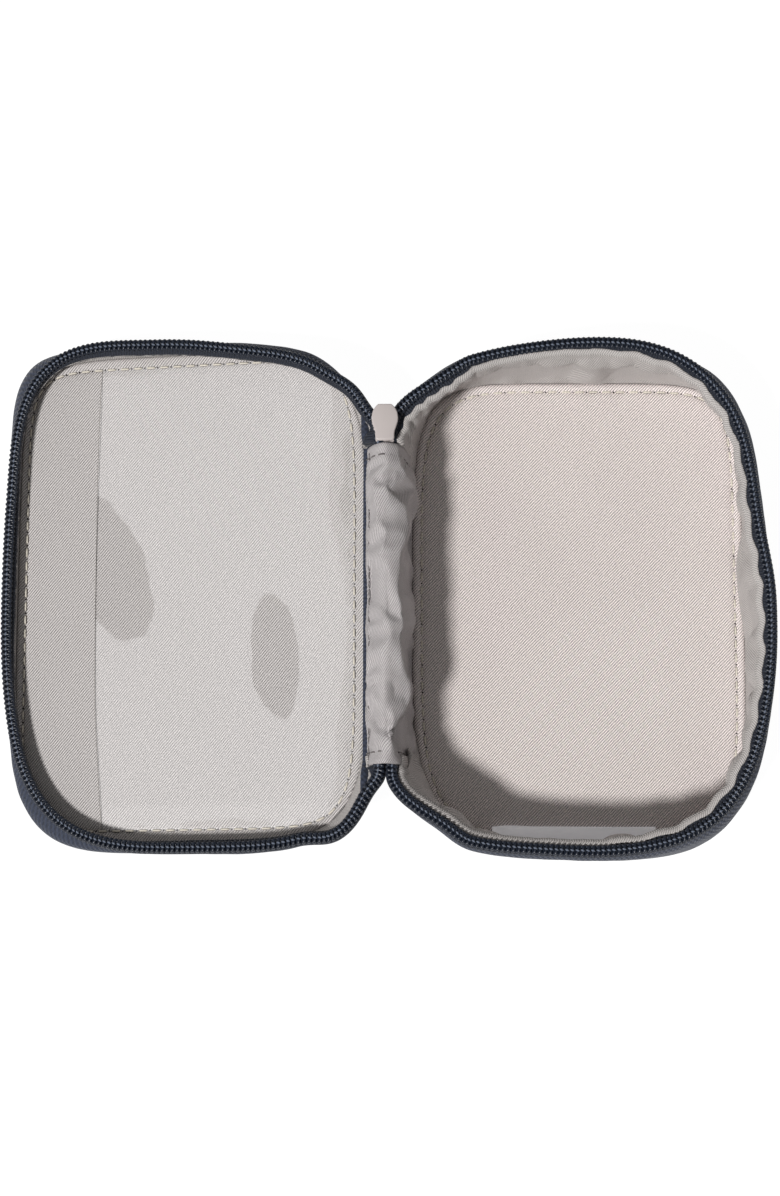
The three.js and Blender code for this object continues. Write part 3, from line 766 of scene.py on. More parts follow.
def outer_wall(half, levels, seed, slack, spine_top):
    """The gusset: shell cloth from the base seam up to the zipper. slack(angles) is its share of
    bulge, and along the spine it ends at spine_top, under the hinge cloth."""
    angles = np.linspace(-math.pi, math.pi, 480, endpoint=False)
    loop = half.loop
    reach = np.linalg.norm(loop - half.centre, axis=1)
    rim_reach = np.interp(angles, *sorted_by(half.angles(loop), reach), period=2 * math.pi)
    base = half.shell_at(angles)
    direction = np.stack([np.cos(angles), np.sin(angles)], 1)
    rim = half.centre + direction * rim_reach[:, None]
    base_normal, rim_normal = outward(base, True), outward(rim, True)
    at_spine = smoothstep((base[:, 0] - half.centre[0]) * half.spine_side - 36)
    at_spine = at_spine * smoothstep((base[:, 1] - SPINE_LOW_Y + 2) / 4)
    at_spine = at_spine * smoothstep((SPINE_HIGH_Y + 2 - base[:, 1]) / 4)
    bottom = levels[0][2]
    squeeze = (spine_top - bottom) / (levels[-1][2] - bottom)
    rows = []
    for share, out, z in levels:
        line = base * (1 - share) + rim * share
        normal = base_normal * (1 - share) + rim_normal * share
        normal /= np.linalg.norm(normal, axis=1)[:, None]
        soft = 4 * share * (1 - share)
        points = np.column_stack([line, np.full(len(line), z)])
        ripple = 0.45 * wrinkle(points * (1, 1, 0.35), 15, seed)
        ripple += 0.15 * wrinkle(points, 5, seed + 1)
        swell = max(out, 0) * slack(angles) * (1 - 0.8 * at_spine) + min(out, 0)
        points[:, :2] += normal * (swell + ripple * min(1, soft + 0.15))[:, None]
        points[:, 2] = z + at_spine * (bottom + (z - bottom) * squeeze - z)
        rows.append(points)
    grid = np.array(rows).transpose(1, 0, 2)[:, ::-1]
    obj = add_sheet(half.name + "_gusset_soft", grid, SHELL, half.place, thickness=0.8, wrap=True)
    return finish_piece(obj, half.name, "shell_twill", half.name + "_gusset")


def sorted_by(key, value):
    order = np.argsort(key)
    return key[order], value[order]


def tray_slack(angles):
    return np.full(len(angles), 0.2)


def cover_slack(angles):
    return 0.4 + 0.2 * facing(angles, -135, 50) + 2.8 * facing(angles, 131, 30)


outer_wall(TRAY, [
    (0.0, -0.9, -27.2), (0.0, -0.25, -26.9), (0.0, 0.1, -26.2), (0.04, 0.45, -24.5), (0.1, 1.1, -21.5),
    (0.18, 1.7, -18), (0.3, 1.9, -14.5), (0.44, 1.6, -11), (0.6, 0.9, -8), (0.8, 0.0, -5.9),
    (0.96, -0.75, -4.5), (1.0, -1.3, -3.6), (1.0, -2.3, -2.9)], 21, tray_slack, -6.8)
outer_wall(COVER, [
    (0.0, -0.9, -9.9), (0.0, -0.25, -9.5), (0.02, 0.1, -8.8), (0.06, 0.35, -7.6), (0.18, 0.4, -6.2),
    (0.42, 0.1, -5.0), (0.78, -0.5, -4.1), (1.0, -1.3, -3.4), (1.0, -2.3, -2.9)],
    23, cover_slack, -5.8)


# The spine lining's section across the hinge line, as x and z from it, from the cover's panel
# over the crest and down the tray's wall to its base.
LINING_SECTION = [(-4.75, -7.3), (-4.35, -5.9), (-3.5, -3.6), (-2.5, -1.5), (-1.3, -0.1), (0.1, 0.55),
                  (1.6, -0.1), (3.2, -1.9), (4.6, -5.0), (5.6, -10.5), (6.2, -17.0), (6.5, -22.5),
                  (6.75, TRAY.floor - 0.1)]


def under_spine(points, half, gap):
    """Lowers points of a half so that they pass under the spine's lining near its hems."""
    world = place_points(points, half.place)
    local = place_points(world, HINGE_PLACE.inverted())
    covered = smoothstep(np.minimum(HEM_HIGH + 1.0 - local[:, 1], local[:, 1] - HEM_LOW + 1.0) / 1.6)
    covered *= smoothstep((9.0 - np.abs(local[:, 0])) / 1.5)
    roof = np.interp(local[:, 0], *np.array(LINING_SECTION).T)
    roof = np.maximum(roof - gap, -9.0)
    lowered = local[:, 2] * (1 - covered) + roof * covered
    local[:, 2] = np.where(local[:, 2] > roof, lowered, local[:, 2])
    return place_points(place_points(local, HINGE_PLACE), half.place.inverted())


SIMULATION_SCALE = 0.05
SIMULATION_FRAMES = 20
CLOTH_GROWTH = 0.05
LARGEST_MOVE = 1.3


def simulate(grid, pinned):
    """Let a grid of cloth points settle with Blender's cloth, held at the pinned points and
    a little larger than its frame, so it buckles."""
    points = grid.reshape(-1, 3)
    mesh = bpy.data.meshes.new("settling")
    mesh.from_pydata((points * SIMULATION_SCALE).tolist(), [], grid_faces(*grid.shape[:2]))
    obj = add_object("settling", mesh)
    group = obj.vertex_groups.new(name="held")
    group.add([int(i) for i in np.flatnonzero(pinned.ravel())], 1.0, "REPLACE")
    cloth = obj.modifiers.new("cloth", "CLOTH")
    settings = cloth.settings
    settings.vertex_group_mass = "held"
    settings.quality = 5
    settings.mass = 0.2
    settings.tension_stiffness = settings.compression_stiffness = 12
    settings.shear_stiffness = 4
    settings.bending_stiffness = 0.4
    settings.shrink_min = -CLOTH_GROWTH
    settings.effector_weights.gravity = 0
    cloth.collision_settings.use_collision = False
    cloth.point_cache.frame_start = 1
    cloth.point_cache.frame_end = SIMULATION_FRAMES
    scene = bpy.context.scene
    for number in range(1, SIMULATION_FRAMES + 1):
        scene.frame_set(number)
    settled = obj.evaluated_get(bpy.context.evaluated_depsgraph_get()).to_mesh()
    moved = np.empty(len(points) * 3)
    settled.vertices.foreach_get("co", moved)
    bpy.data.objects.remove(obj)
    scene.frame_set(1)
    shift = moved.reshape(-1, 3) / SIMULATION_SCALE - points
    far = np.linalg.norm(shift, axis=1, keepdims=True)
    shift *= np.tanh(far / LARGEST_MOVE) * LARGEST_MOVE / np.maximum(far, 1e-6)
    return (points + shift).reshape(grid.shape)


OUTWARD_LIMIT = 0.35


def lining_wall(half, hem_inset, fold, hem_z, floor, lean, seed, slack, rows):
    """The wall's lining: a folded hem just inside the zipper, then loose cloth that leans in
    and falls in creases to the seam round the lining panel. Loose cloth is also simulated."""
    arc = resample(half.path, 1.0)
    normal = outward(arc)
    s = np.arange(len(arc), dtype=float)
    scallop = hem_inset(arc, s)
    angles = half.angles(arc)
    foot = half.panel_at(angles, 0.1)
    hem = arc - normal * scallop[:, None]
    z_hem = np.full(len(arc), hem_z)
    hem -= normal * 0.22 * wrinkle(np.column_stack([hem, z_hem]), 1.1, seed)[:, None]
    grid = [np.column_stack([hem - normal * back, z_hem + z]) for back, z in fold]
    still = list(grid)
    top = hem - normal * (fold[-1][0] + 0.2)
    top_z = z_hem + fold[-1][1] - 0.12
    for t in np.linspace(0.02, 1, rows):
        line = top * (1 - t) + foot * t
        points = np.column_stack([line, top_z * (1 - t) + floor * t])
        loose = slack * math.sin(math.pi * t) ** 0.7
        crease = 1 - 2 * np.abs(wrinkle(points * (1, 1, 0.3), 11.0, seed))
        soft = wrinkle(points * (1, 1, 0.5), 5.0, seed + 1)
        shift = loose * (crease - 0.55 + 0.5 * soft) - lean * math.exp(-((t - 0.2) / 0.16) ** 2)
        still.append(points.copy())
        points[:, :2] += normal * np.minimum(shift, OUTWARD_LIMIT)[:, None]
        grid.append(points)
    grid, still = (np.array(part).transpose(1, 0, 2) for part in (grid, still))
    grid, still = (under_spine(part.reshape(-1, 3), half, 0.45).reshape(grid.shape)
                   for part in (grid, still))
    if slack > 1:
        held = np.zeros(grid.shape[:2], bool)
        held[:, :len(fold) + 2] = held[:, -2:] = held[:4] = held[-4:] = True
        grid = simulate(grid, held)
        out = ((grid - still)[..., :2] * normal[:, None]).sum(-1)
        grid[..., :2] += normal[:, None] * (np.minimum(out, OUTWARD_LIMIT) - out)[..., None]
    name = half.name + "_gusset_lining"
    obj = add_sheet(name + "_soft", grid, NYLON_LINING, half.place, thickness=0.4)
    return finish_piece(obj, half.name, "lining", name)


def end_turn(half, arc, reach):
    """1 where the path lies on the hinge line, at its top end and at its foot, else 0."""
    close = smoothstep(1.3 - half.from_axis(arc) / 4)
    top = close * smoothstep((SPINE_HIGH_Y + reach - arc[:, 1]) / reach) * (arc[:, 1] > 0)
    low = close * smoothstep((arc[:, 1] - SPINE_LOW_Y + reach) / reach) * (arc[:, 1] < 0)
    return top, low


def tray_hem(arc, s):
    """How far the hem lies inside the coil's edge: in scallops on the right, farther in at the
    top corner, and close again where the cloth tucks under the slider."""
    scallop = np.abs(np.sin(s / 2.9 + 0.7 * np.sin(s / 23))) ** 1.6
    right = smoothstep((arc[:, 0] + 10) / 30)
    away = TRAY.from_axis(arc)
    corner = smoothstep((26 - away) / 12) * smoothstep(arc[:, 1] / 20)
    ripple = 0.28 * np.sin(s / 0.8 + 1.5 * np.sin(s / 5)) * corner
    top, low = end_turn(TRAY, arc, 5.0)
    return (2.75 + 0.7 * scallop * right + 1.0 * corner + ripple - 1.0 * top + 0.7 * low
            + 0.15 * np.sin(s / 11))


def cover_hem(arc, s):
    low_left = facing(COVER.angles(arc), -135, 50)
    top_side = facing(COVER.angles(arc), 95, 60)
    top, low = end_turn(COVER, arc, 7.0)
    top_left = facing(COVER.angles(arc), 133, 28)
    return (3.0 + 0.5 * top_side - 1.1 * low_left - 1.0 * top_left + 2.6 * top + 1.9 * low
            + 0.1 * np.sin(s / 13))


HEM_FOLD = ((1.6, -0.85), (0.6, -0.6), (0.15, -0.42), (0.0, -0.2), (0.1, 0.0), (0.4, -0.03),
            (0.8, -0.12), (1.2, -0.3))
TUCKED_FOLD = ((1.0, -0.9), (0.3, -0.7), (0.1, -0.45), (0.15, -0.2), (0.4, -0.15))
lining_wall(TRAY, tray_hem, HEM_FOLD, -1.6, TRAY.floor - 0.2, 0.6, 31, 1.5, 26)
lining_wall(COVER, lambda arc, s: cover_hem(arc, s) - 0.7, TUCKED_FOLD, -2.15, COVER.floor - 0.3,
            0.0, 37, 0.12, 7)


# ---- zipper

def tape(half, hem):
    """The woven tape: from the gusset seam outside, in under the coil, and down below the hem."""
    arc = resample(half.path, 0.5)
    normal = outward(arc)
    inner = hem(arc, np.arange(len(arc)) * 0.5)
    outside = [(1.0, -5.2), (0.5, -4.2), (0.12, -3.2), (0.02, -2.3), (0.12, -1.75), (0.5, -1.5),
               (1.0, -1.5), (1.6, -1.6), (2.3, -1.65)]
    grid = [np.column_stack([arc - normal * inset, np.full(len(arc), z)]) for inset, z in outside]
    for past, z in ((-0.2, -1.8), (0.15, -1.95), (0.35, -2.4), (0.3, -3.4)):
        back = np.maximum(inner + past, 2.45 + past * 0.3)
        grid.append(np.column_stack([arc - normal * back[:, None], np.full(len(arc), z)]))
    grid = np.array(grid).transpose(1, 0, 2)
    grid = under_spine(grid.reshape(-1, 3), half, 0.75).reshape(grid.shape)
    name = half.name + "_zipper_tape"
    obj = add_sheet(name + "_soft", grid, TAPE, half.place, thickness=0.4)
    return finish_piece(obj, half.name, "zipper_nylon", name)


def coil(half):
    """A flattened helix of nylon wire along the rim: one loop for each tooth."""
    path, normal = half.path, outward(half.path)
    turn_samples = 14
    count = int(PATH_STEP * len(path) / COIL_PITCH)
    turn = np.linspace(0, count * 2 * math.pi, count * turn_samples)
    s = turn / (2 * math.pi) * COIL_PITCH / PATH_STEP
    index = np.clip(s.astype(int), 0, len(path) - 2)
    part = (s - index)[:, None]
    base = path[index] * (1 - part) + path[index + 1] * part
    side = normal[index]
    cos, sin = np.cos(turn), np.sin(turn)
    across = np.sign(cos) * np.abs(cos) ** 0.7
    up = np.sign(sin) * np.abs(sin) ** 0.8
    inset = 1.65 - 1.05 * across
    line = np.column_stack([base - side * inset[:, None], -0.98 + 0.3 * up])
    line = under_spine(line, half, 1.2)
    radius = 0.37 + 0.12 * smoothstep((across - 0.3) / 0.7)
    name = half.name + "_zipper_coil"
    obj = add_tubes(name + "_wound", [tube_parts(line, radius, 6)], COIL, half.place)
    return finish_piece(obj, half.name, "zipper_nylon", name)


def beads(half, inset, z, size, material, name):
    """A row of chain stitches that holds the coil down."""
    path, normal = half.path, outward(half.path)
    tangent = np.stack([-normal[:, 1], normal[:, 0]], 1)
    count = int(PATH_STEP * len(path) / COIL_PITCH)
    parts = []
    for i in range(count):
        index = min(len(path) - 1, int((i + 0.25) * COIL_PITCH / PATH_STEP))
        centre = path[index] - normal[index] * inset
        along = np.linspace(-1, 1, 6)[:, None] * 0.42
        lean = normal[index] * 0.35
        spots = np.column_stack([centre + (tangent[index] + lean) * along,
                                 z - 0.16 * np.linspace(-1, 1, 6) ** 2])
        swell = size * np.array([0.45, 0.9, 1.0, 1.0, 0.85, 0.4])
        parts.append(tube_parts(under_spine(spots, half, 0.6), swell, 7))
    obj = add_tubes(half.name + name, parts, material, half.place)
    return finish_piece(obj, half.name, "zipper_nylon")


for half, hem in ((TRAY, tray_hem), (COVER, cover_hem)):
    tape(half, hem)
    wound = coil(half)
    if half is TRAY:
        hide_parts("zipper_chain_top", "zipper_chain_bottom")
    # Both rows are one thread: the inner row's darker colour is painted shade, the outer row's lighter
    # colour a painted highlight.
    beads(half, 2.5, -0.95, 0.26, COIL_THREAD_DARK, "_coil_stitch_inner")
    beads(half, 1.65, -0.42, 0.24, COIL_THREAD, "_coil_stitch_outer")


# ---- fabric spine

SPINE_SEAM_X = -4.2


def spine_sheet(section, low, high, name, material, thickness, soft, seed, loose=False):
    """A strip of cloth over the hinge from an (x, z) section, with folded hems at both ends."""
    line = smooth_line(section, 0.3)
    y = np.concatenate([[low + 0.9, low + 0.3, low, low + 0.25], np.arange(low + 1, high - 0.5, 0.8),
                        [high - 0.25, high, high - 0.3, high - 0.9]])
    drop = np.zeros(len(y))
    drop[[0, 1, 2, -3, -2, -1]] = [-1.3, -0.9, -0.4, -0.4, -0.9, -1.3]
    normal = -outward(line)
    normal *= np.sign(normal[len(line) // 3, 1] or 1)
    along = np.linspace(0, 1, len(line))
    grid = np.zeros((len(line), len(y), 3))
    grid[..., 0], grid[..., 1], grid[..., 2] = line[:, :1], y[None], line[:, 1:]
    hem = np.exp(-((y - (low + 3)) / 0.45) ** 2) + np.exp(-((y - (high - 3)) / 0.45) ** 2)
    calm = smoothstep(np.minimum(y - low, high - y) / 6)[None] * 0.75 + 0.25
    ends = np.sin(math.pi * np.clip(along, 0, 1)) ** 0.5
    broad = 0.7 - 2.2 * np.abs(wrinkle(grid * (0.8, 0.55, 0.35), 7.0, seed))
    lift = soft * (broad + 0.45 * wrinkle(grid * (1, 0.8, 0.5), 3.4, seed + 1))
    seam = np.exp(-((line[:, 0] - SPINE_SEAM_X) / 0.22) ** 2)
    lift = lift * calm * ends[:, None] - 0.22 * hem[None] - 0.35 * seam[:, None] + drop[None] * 0.8
    grid[..., 0] += normal[:, :1] * lift
    grid[..., 2] += normal[:, 1:] * lift
    if loose:
        held = np.zeros(grid.shape[:2], bool)
        held[:6] = held[-6:] = held[:, :7] = held[:, -7:] = True
        held |= seam[:, None] > 0.3
        grid = simulate(grid, held)
        way = np.stack([normal[:, 0], np.zeros(len(line)), normal[:, 1]], 1)[:, None]
        base = np.stack([line[:, 0], np.zeros(len(line)), line[:, 1]], 1)[:, None]
        rise = ((grid - base) * way * (1, 0, 1)).sum(-1)
        low_limit = -0.75 - 1.2 * (drop < 0)
        grid += way * (np.maximum(rise, low_limit[None]) - rise)[..., None]
    obj = add_sheet(name, grid, material, HINGE_PLACE, thickness=thickness)
    return obj, line, normal


def blend_spine(obj):
    """Bakes the piece's placement into its mesh."""
    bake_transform(obj)
    return obj


spine_lining, lining_line, lining_normal = spine_sheet(
    LINING_SECTION, HEM_LOW, HEM_HIGH, "spine_lining_soft", SPINE_LINING, 0.4, 1.6, 41, True)
blend_spine(finish_piece(spine_lining, None, "lining", "spine_lining", "spine_lining_cover_end"))

# The outer cloth is folded over at the hinge line, so that it has length to go round the outside
# when the case closes: a flap from each half and the fold between their ends.
TRAY_FLAP = [(3.5, -8.4), (3.0, -5.4), (1.9, -3.0), (0.3, -1.9), (-1.0, -1.35)]
COVER_FLAP = [(-5.6, -10.3), (-4.8, -8.7), (-3.7, -6.1), (-2.1, -3.5), (-0.4, -2.3), (1.0, -1.75)]
for half, flap, seed in ((TRAY, TRAY_FLAP, 47), (COVER, COVER_FLAP, 48)):
    piece, _, _ = spine_sheet(flap, SPINE_LOW_Y, SPINE_HIGH_Y, "spine_shell_" + half.name + "_flap",
                              SHELL, 0.5, 0.1, seed)
    finish_piece(piece, half.name, "shell_twill", "spine_shell")
fold_y = np.arange(SPINE_LOW_Y + 0.2, SPINE_HIGH_Y - 0.2, 0.8)
fold_ends = [[(x, y, z) for y in fold_y] for x, z in ((-1.0, -1.45), (1.0, -1.65))]
fold_piece = add_sheet("spine_shell_fold", np.array(fold_ends), SHELL, HINGE_PLACE, thickness=0.4)
blend_spine(finish_piece(fold_piece, None, "shell_twill"))

def hem_threads():
    """One thread in each pitch along both hems of the spine's lining."""
    steps = np.linalg.norm(np.diff(lining_line, axis=0), axis=1)
    along = np.concatenate([[0], np.cumsum(steps)])
    section = np.column_stack([lining_line, lining_normal])
    lift = -0.03 - 0.3 * np.linspace(-1, 1, 7) ** 4
    threads = []
    for y in (HEM_LOW + 3, HEM_HIGH - 3):
        for i in range(int(along[-1] / STITCH_PITCH)):
            s = np.linspace(i * STITCH_PITCH + 0.6, i * STITCH_PITCH + 2.7, 7)
            x, z, normal_x, normal_z = (np.interp(s, along, part) for part in section.T)
            spots = [x + normal_x * lift, np.full(7, y), z + normal_z * lift]
            threads.append(tube_parts(np.column_stack(spots), 0.18, 7))
    return threads


def seam_threads():
    """Two rows of threads along the spine's seam."""
    along = np.linspace(0, 1.8, 6)
    lift = 0.02 - 0.16 * (2 * along / 1.8 - 1) ** 4
    threads = []
    for seam_x in (SPINE_SEAM_X - 0.35, SPINE_SEAM_X + 0.35):
        spot = np.argmin(np.abs(lining_line[:, 0] - seam_x))
        (x, z), normal = lining_line[spot], lining_normal[spot]
        for y in np.arange(HEM_LOW + 1, HEM_HIGH - 2.4, 2.1):
            spots = [x + normal[0] * lift, y + along, z + normal[1] * lift]
            threads.append(tube_parts(np.column_stack(spots), 0.13, 6))
    return threads


for name, threads in (("spine_hem_stitches", hem_threads()), ("spine_seam_stitches", seam_threads())):
    obj = add_tubes(name, threads, SPINE_THREAD, HINGE_PLACE)
    blend_spine(finish_piece(obj, None, "lining"))


# ---- slider and pull

def slider_solid(name, outline, low, high, bevel):
    """A flat enamelled solid of an outline, part of the slider, with its edges rounded over."""
    count = len(outline)
    points = [(x, y, z) for z in (low, high) for x, y in outline]
    faces = [tuple(reversed(range(count))), tuple(range(count, 2 * count))]
    faces += [(i, (i + 1) % count, count + (i + 1) % count, count + i) for i in range(count)]
    obj = round_edges(add_mesh(name, points, faces, ENAMEL, HINGE_PLACE), bevel)
    return finish_piece(obj, "slider", "slider_metal")


def slider_outline(low, high, mouth, wide, tail):
    """The keystone plate: flat at the mouth, widest under it, and narrowed to the tail."""
    tall = high - low
    side = [(mouth, high), (mouth + 0.6, high - 0.07 * tall), (wide - 0.3, high - 0.2 * tall),
            (wide, high - 0.4 * tall), (wide - 0.35, high - 0.58 * tall),
            (tail + 0.1, high - 0.76 * tall), (tail, low + 0.06 * tall), (tail - 0.4, low)]
    right = smooth_line(side, 0.3)
    left = right[::-1] * (-1, 1)
    return np.concatenate([left, right])[::-1]


slider_low, slider_high = node_box("slider_body", HINGE_PLACE)
slider_foot, slider_nose = slider_low[1], slider_high[1]
plate_top = slider_high[2]
keystone = slider_outline(slider_foot - 0.9, slider_nose - 0.5, 1.6, slider_high[0], 2.25)
slider_solid("slider_inner_plate", keystone, plate_top - 0.95, plate_top + 0.1, 0.32)
slider_solid("slider_outer_plate", keystone, -plate_top, -plate_top + 0.9, 0.3)
diamond = [(-0.75, -1.4), (0.75, -1.4), (0.95, -2.2), (0, -3.7), (-0.95, -2.2), (-0.75, -1.4)]
diamond = smooth_line(diamond, 0.25) + (0, slider_nose)
slider_solid("slider_divider", diamond[:-1][::-1], -plate_top + 0.5, plate_top - 0.5, 0.1)
flange = [(-0.28, slider_foot + 0.6), (0.28, slider_foot + 0.6), (0.28, slider_nose - 3.8),
          (-0.28, slider_nose - 3.8)]
for side, x in (("a", -1.9), ("b", 1.9)):
    for level, z in (("u", 0.72), ("l", -1.28)):
        slider_solid("slider_flange_" + side + level, np.array(flange) + (x, 0), z, z + 0.56, 0.12)


def slider_bridge():
    """The bridge over the pull's pin: a flat bar with its edges cut off, bent round the pin."""
    pin = Vector(JOINTS["pull_swing"]["pos_m"]) / MM - HINGE
    low = slider_low[2]
    half_arch = [(2.3, -plate_top + 0.4), (2.2, pin.z + 0.3), (1.5, low + 0.55)]
    arch = [(-y, z) for y, z in half_arch] + [(0, low + 0.42)] + half_arch[::-1]
    line = smooth_line(arch, 0.25)
    lean = -outward(line)
    line = line + (pin.y, 0)
    corner = [(-0.8, -0.3), (-0.62, -0.42), (0.62, -0.42), (0.8, -0.3),
              (0.8, 0.3), (0.62, 0.42), (-0.62, 0.42), (-0.8, 0.3)]
    grid = np.array([[(across, *(spot + rise * normal)) for across, rise in corner]
                     for spot, normal in zip(line, lean)])
    faces = grid_faces(len(line), 8, False, True)
    last = len(line) * 8
    faces += [tuple(range(8)), tuple(reversed(range(last - 8, last)))]
    obj = add_mesh("slider_bridge", grid, faces, ENAMEL, HINGE_PLACE)
    finish_piece(obj, "slider", "slider_metal", "slider_body")


slider_bridge()


def pull_rings(half_width, low, high):
    """The blade's outline, round at its foot, and its window for the bridge, as (x, z)."""
    side = [(half_width, high - 0.5), (half_width - 0.15, high - 0.15), (half_width - 0.6, high)]
    outer = side + [(-x, z) for x, z in reversed(side)]
    for angle in np.linspace(math.pi, 2 * math.pi, 19):
        outer.append((half_width * math.cos(angle), low + half_width * (1 + math.sin(angle))))
    x, top, foot = 1.2, high - 0.8, high - 3.15
    side = [(x - 0.4, foot), (x, foot + 0.4), (x, top - 0.3), (x - 0.3, top)]
    left = [(-x, z) for x, z in reversed(side)]
    return outer, left[2:] + side + left[:2]


def pull_blade():
    """The pull hangs straight down from the bridge: a rounded blade with a window in it."""
    low, high = node_box("pull_tab", HINGE_PLACE)
    thickness = (high[1] - low[1]) * MM
    shape = bmesh.new()
    edges = []
    for ring in pull_rings(high[0], low[2], high[2]):
        made = [shape.verts.new((x * MM, 0, z * MM)) for x, z in ring]
        edges += [shape.edges.new((made[i], made[(i + 1) % len(made)])) for i in range(len(made))]
    bmesh.ops.triangle_fill(shape, use_beauty=True, edges=edges)
    flat = bmesh.ops.extrude_face_region(shape, geom=shape.faces[:])
    moved = [entry for entry in flat["geom"] if isinstance(entry, bmesh.types.BMVert)]
    bmesh.ops.translate(shape, verts=moved, vec=(0, thickness, 0))
    bmesh.ops.translate(shape, verts=shape.verts, vec=(0, -thickness / 2, 0))
    bmesh.ops.recalc_face_normals(shape, faces=shape.faces)
    mesh = bpy.data.meshes.new("pull_blade")
    shape.to_mesh(mesh)
    shape.free()
    mesh.transform(Matrix.Translation((HINGE + Vector((0, (low[1] + high[1]) / 2, 0))) * MM))
    mesh.polygons.foreach_set("use_smooth", [True] * len(mesh.polygons))
    mesh.materials.append(ENAMEL)
    finish_piece(round_edges(add_object("pull_blade", mesh), 0.28), "pull", "slider_metal", "pull_tab")


pull_blade()


# ---- clear pocket and label

def pocket_film():
    """A clear film over the cover's lining, open along its free edge and held by the seam on
    its other three sides."""
    edge_low = node_box("cover_clear_pocket", COVER_PLACE)[0]
    (middle_x, middle_y), half_x, half_y, corners = COVER.seam
    rows = []
    columns, lines = 110, 150
    stretch = np.linspace(0, 1, columns)
    for share in np.linspace(-0.997, 0.997, lines):
        y = middle_y + (half_y + 0.45) * share
        power = corners[0 if share > 0 else 3]
        right = middle_x + (half_x + 0.45) * (1 - abs(share) ** power) ** (1 / power)
        free = edge_low[0] - 1.0 + 1.1 * ((y - 15) / 60) ** 2 + 1.2 * smoothstep(-(y + 20) / 40)
        x = free + (right - free) * stretch
        rows.append(np.column_stack([x, np.full(columns, y), np.zeros(columns)]))
    grid = np.array(rows)
    y = np.linspace(-1, 1, lines)[:, None]
    hold = np.clip((1 - stretch[None]) * 6, 0, 1) * np.clip((1 - np.abs(y)) * 9, 0, 1)
    grid[..., 2] = COVER.floor - 0.1 + hold * (0.6 + 0.35 * wrinkle(grid, 34, 61))
    obj = add_sheet("cover_clear_pocket_film", grid, VINYL, COVER.place, uv=grid[..., :2])
    finish_piece(thicken(obj, 0.12, 0.0), "cover", "clear_vinyl", "cover_clear_pocket")
    edge = tube_parts(grid[1:-1, 0] + (0, 0, 0.05), 0.09, 6)
    finish_piece(add_tubes("cover_pocket_cut_edge", [edge], FILM_EDGE, COVER.place), "cover", "clear_vinyl")


pocket_film()

def care_label():
    """A blank folded label: a soft arch of satin, crumpled at its left end."""
    low, high = node_box("care_label", TRAY_PLACE)
    rows = []
    for t in np.linspace(0, 1, 90):
        x = low[0] + (high[0] - low[0]) * t
        crumple = 1 - smoothstep(t / 0.28)
        across = np.linspace(0, 1, 15)
        y = low[1] - 0.3 + 0.5 * math.sin(t * 7) * crumple + 4.4 * across
        arch = np.abs(np.sin(math.pi * across)) ** 0.7
        z = low[2] + 0.6 + 0.9 * arch * (0.55 + 0.45 * math.sin(t * 5 + 0.6))
        creases = [noise.noise(Vector((x / 2.4, place / 3.0, 4.1))) for place in y]
        rows.append(np.column_stack([np.full(15, x), y, z + crumple * np.array(creases)]))
    obj = add_sheet("care_label_soft", np.array(rows)[:, ::-1], SATIN, TRAY_PLACE, thickness=0.25)
    finish_piece(obj, "tray", "label_satin", "care_label")


care_label()


# ---- what is inside the panels

def plate(half, node, inset, material, slot_name, name):
    """A flat plate inside a panel, cut to the shell's outline, with soft edges."""
    low, high = (corner[2] for corner in node_box(node, half.place))
    count = 240
    outline = half.shell_at(np.linspace(-math.pi, math.pi, count, endpoint=False), inset)
    if half is TRAY:
        outline[:, 0] = np.maximum(outline[:, 0], half.centre[0] - 41.0)
    middle = outline.mean(0)
    profile = [(0.02, low), (0.9, low), (0.985, low + 0.08), (1.0, low + 0.3), (1.0, high - 0.3),
               (0.985, high - 0.08), (0.9, high), (0.02, high)]
    rings = [np.column_stack([middle + (outline - middle) * share, np.full(count, z)])
             for share, z in profile]
    faces = [tuple(reversed(face)) for face in grid_faces(len(rings), count, False, True)]
    last = (len(rings) - 1) * count
    faces += [tuple(reversed(range(count))), tuple(range(last, last + count))]
    obj = add_mesh(name, np.array(rings), faces, material, half.place)
    return finish_piece(obj, half.name, slot_name, node)


plate(TRAY, "tray_stiffener_board", 1.6, BOARD, "stiffener", "tray_board_cut")
plate(COVER, "cover_foam_pad", 1.8, FOAM, "foam", "cover_pad_cut")


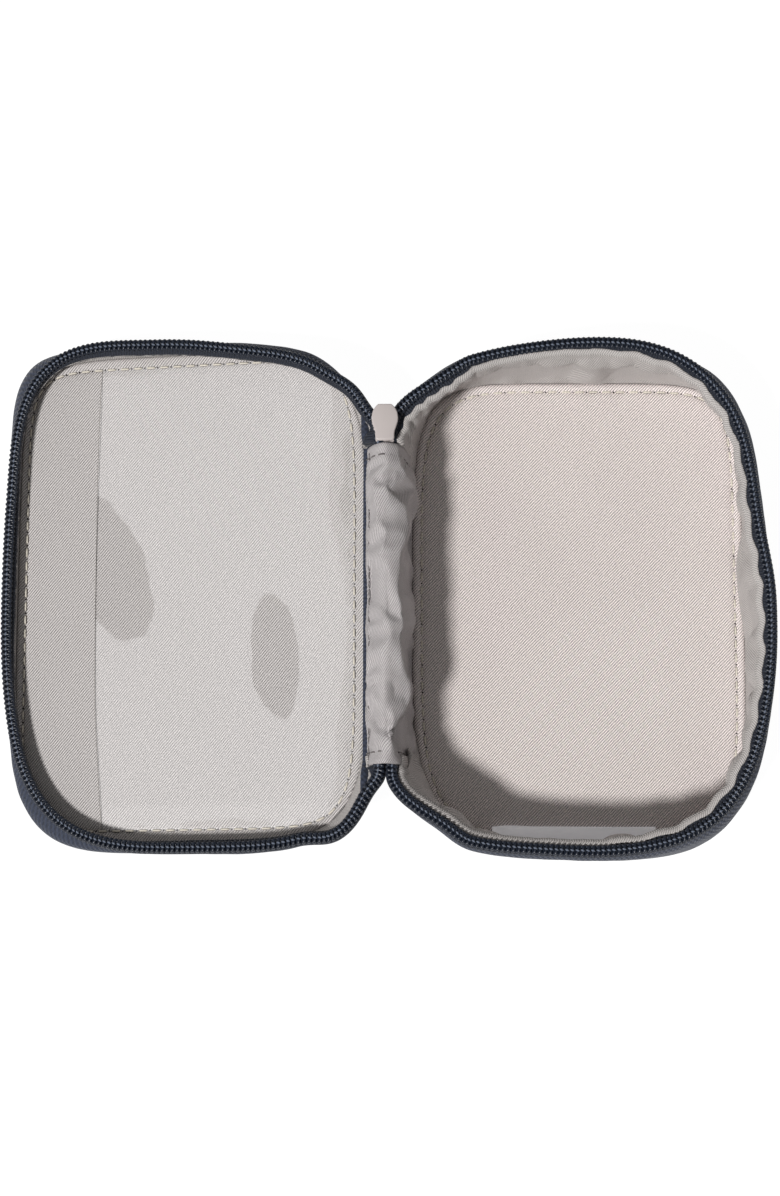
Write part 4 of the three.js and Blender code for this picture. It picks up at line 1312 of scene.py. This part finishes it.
def wall_foam():
    """Foam inside the tray's wall, cut lower than the CAD band so that the hem closes over it."""
    angles = np.linspace(-math.pi, math.pi, 240, endpoint=False)
    reach = np.linalg.norm(TRAY.loop, axis=1)
    rim = np.interp(angles, *sorted_by(TRAY.angles(TRAY.loop), reach), period=2 * math.pi)
    direction = np.stack([np.cos(angles), np.sin(angles)], 1)
    base = TRAY.panel_at(angles, 0.0)
    base = base + outward(base, True) * 1.1
    at_spine = smoothstep((-38.0 - base[:, 0]) / 3)
    top = direction * (rim - 2.6 - 2.0 * at_spine)[:, None]
    grid = []
    for t in np.linspace(0, 1, 8):
        line = base * (1 - t) + top * t
        grid.append(np.column_stack([line, -25.8 + (20.5 - 7.0 * at_spine) * t]))
    grid = np.array(grid).transpose(1, 0, 2)[:, ::-1]
    obj = add_sheet("tray_wall_foam_soft", grid, FOAM, TRAY_PLACE, thickness=0.5, wrap=True)
    return finish_piece(obj, "tray", "foam", "tray_wall_foam")


wall_foam()


# ---- stage

def floor():
    nodes = new_material("pale_floor")
    diffuse = nodes.add("ShaderNodeBsdfDiffuse", {"Color": (0.12, 0.12, 0.12, 1)})
    glow = nodes.add("ShaderNodeEmission", {"Color": (1, 1, 1, 1), "Strength": 0.97})
    both = nodes.add("ShaderNodeAddShader", {0: diffuse.outputs[0], 1: glow.outputs[0]})
    size = 1500
    corners = [(x * size, y * size, -0.5) for x, y in ((-1, -1), (1, -1), (1, 1), (-1, 1))]
    obj = add_mesh("floor", corners, [(0, 1, 2, 3)], nodes.finish(both), smooth=False)


floor()


def studio():
    """Soft fill light all round, seen as white, and one sun for the key."""
    nodes = Nodes(bpy.data.worlds.new("studio"), "ShaderNodeOutputWorld")
    fill = nodes.add("ShaderNodeBackground", {0: (1.0, 0.98, 0.97, 1), 1: 0.21})
    seen = nodes.add("ShaderNodeBackground", {0: (1, 1, 1, 1)})
    ray = nodes.add("ShaderNodeLightPath").outputs["Is Camera Ray"]
    bpy.context.scene.world = nodes.finish(nodes.add("ShaderNodeMixShader", {
        0: ray, 1: fill.outputs[0], 2: seen.outputs[0]}))
    sun = bpy.data.lights.new("key", "SUN")
    sun.energy = 2.9
    sun.angle = math.radians(7.5)
    sun.color = (1.0, 0.985, 0.97)
    obj = add_object("key", sun)
    obj.rotation_mode = "QUATERNION"
    obj.rotation_quaternion = Vector((0.51, 0.49, -1)).to_track_quat("-Z", "Y")


studio()

ELEVATION = math.radians(80)
DISTANCE = 0.65
target = Vector((HINGE.x + 1.25, 3.7, 0)) * MM
lens = bpy.data.cameras.new("camera")
lens.sensor_width = 36
lens.lens = 120 * 780 / 1196
lens.clip_start, lens.clip_end = 0.01, 20
camera = add_object("camera", lens)
camera.location = target + Vector((0, -math.cos(ELEVATION), math.sin(ELEVATION))) * DISTANCE
camera.rotation_euler = (math.pi / 2 - ELEVATION, 0, 0)
bpy.context.scene.camera = camera
bpy.context.scene.view_settings.view_transform = "Standard"
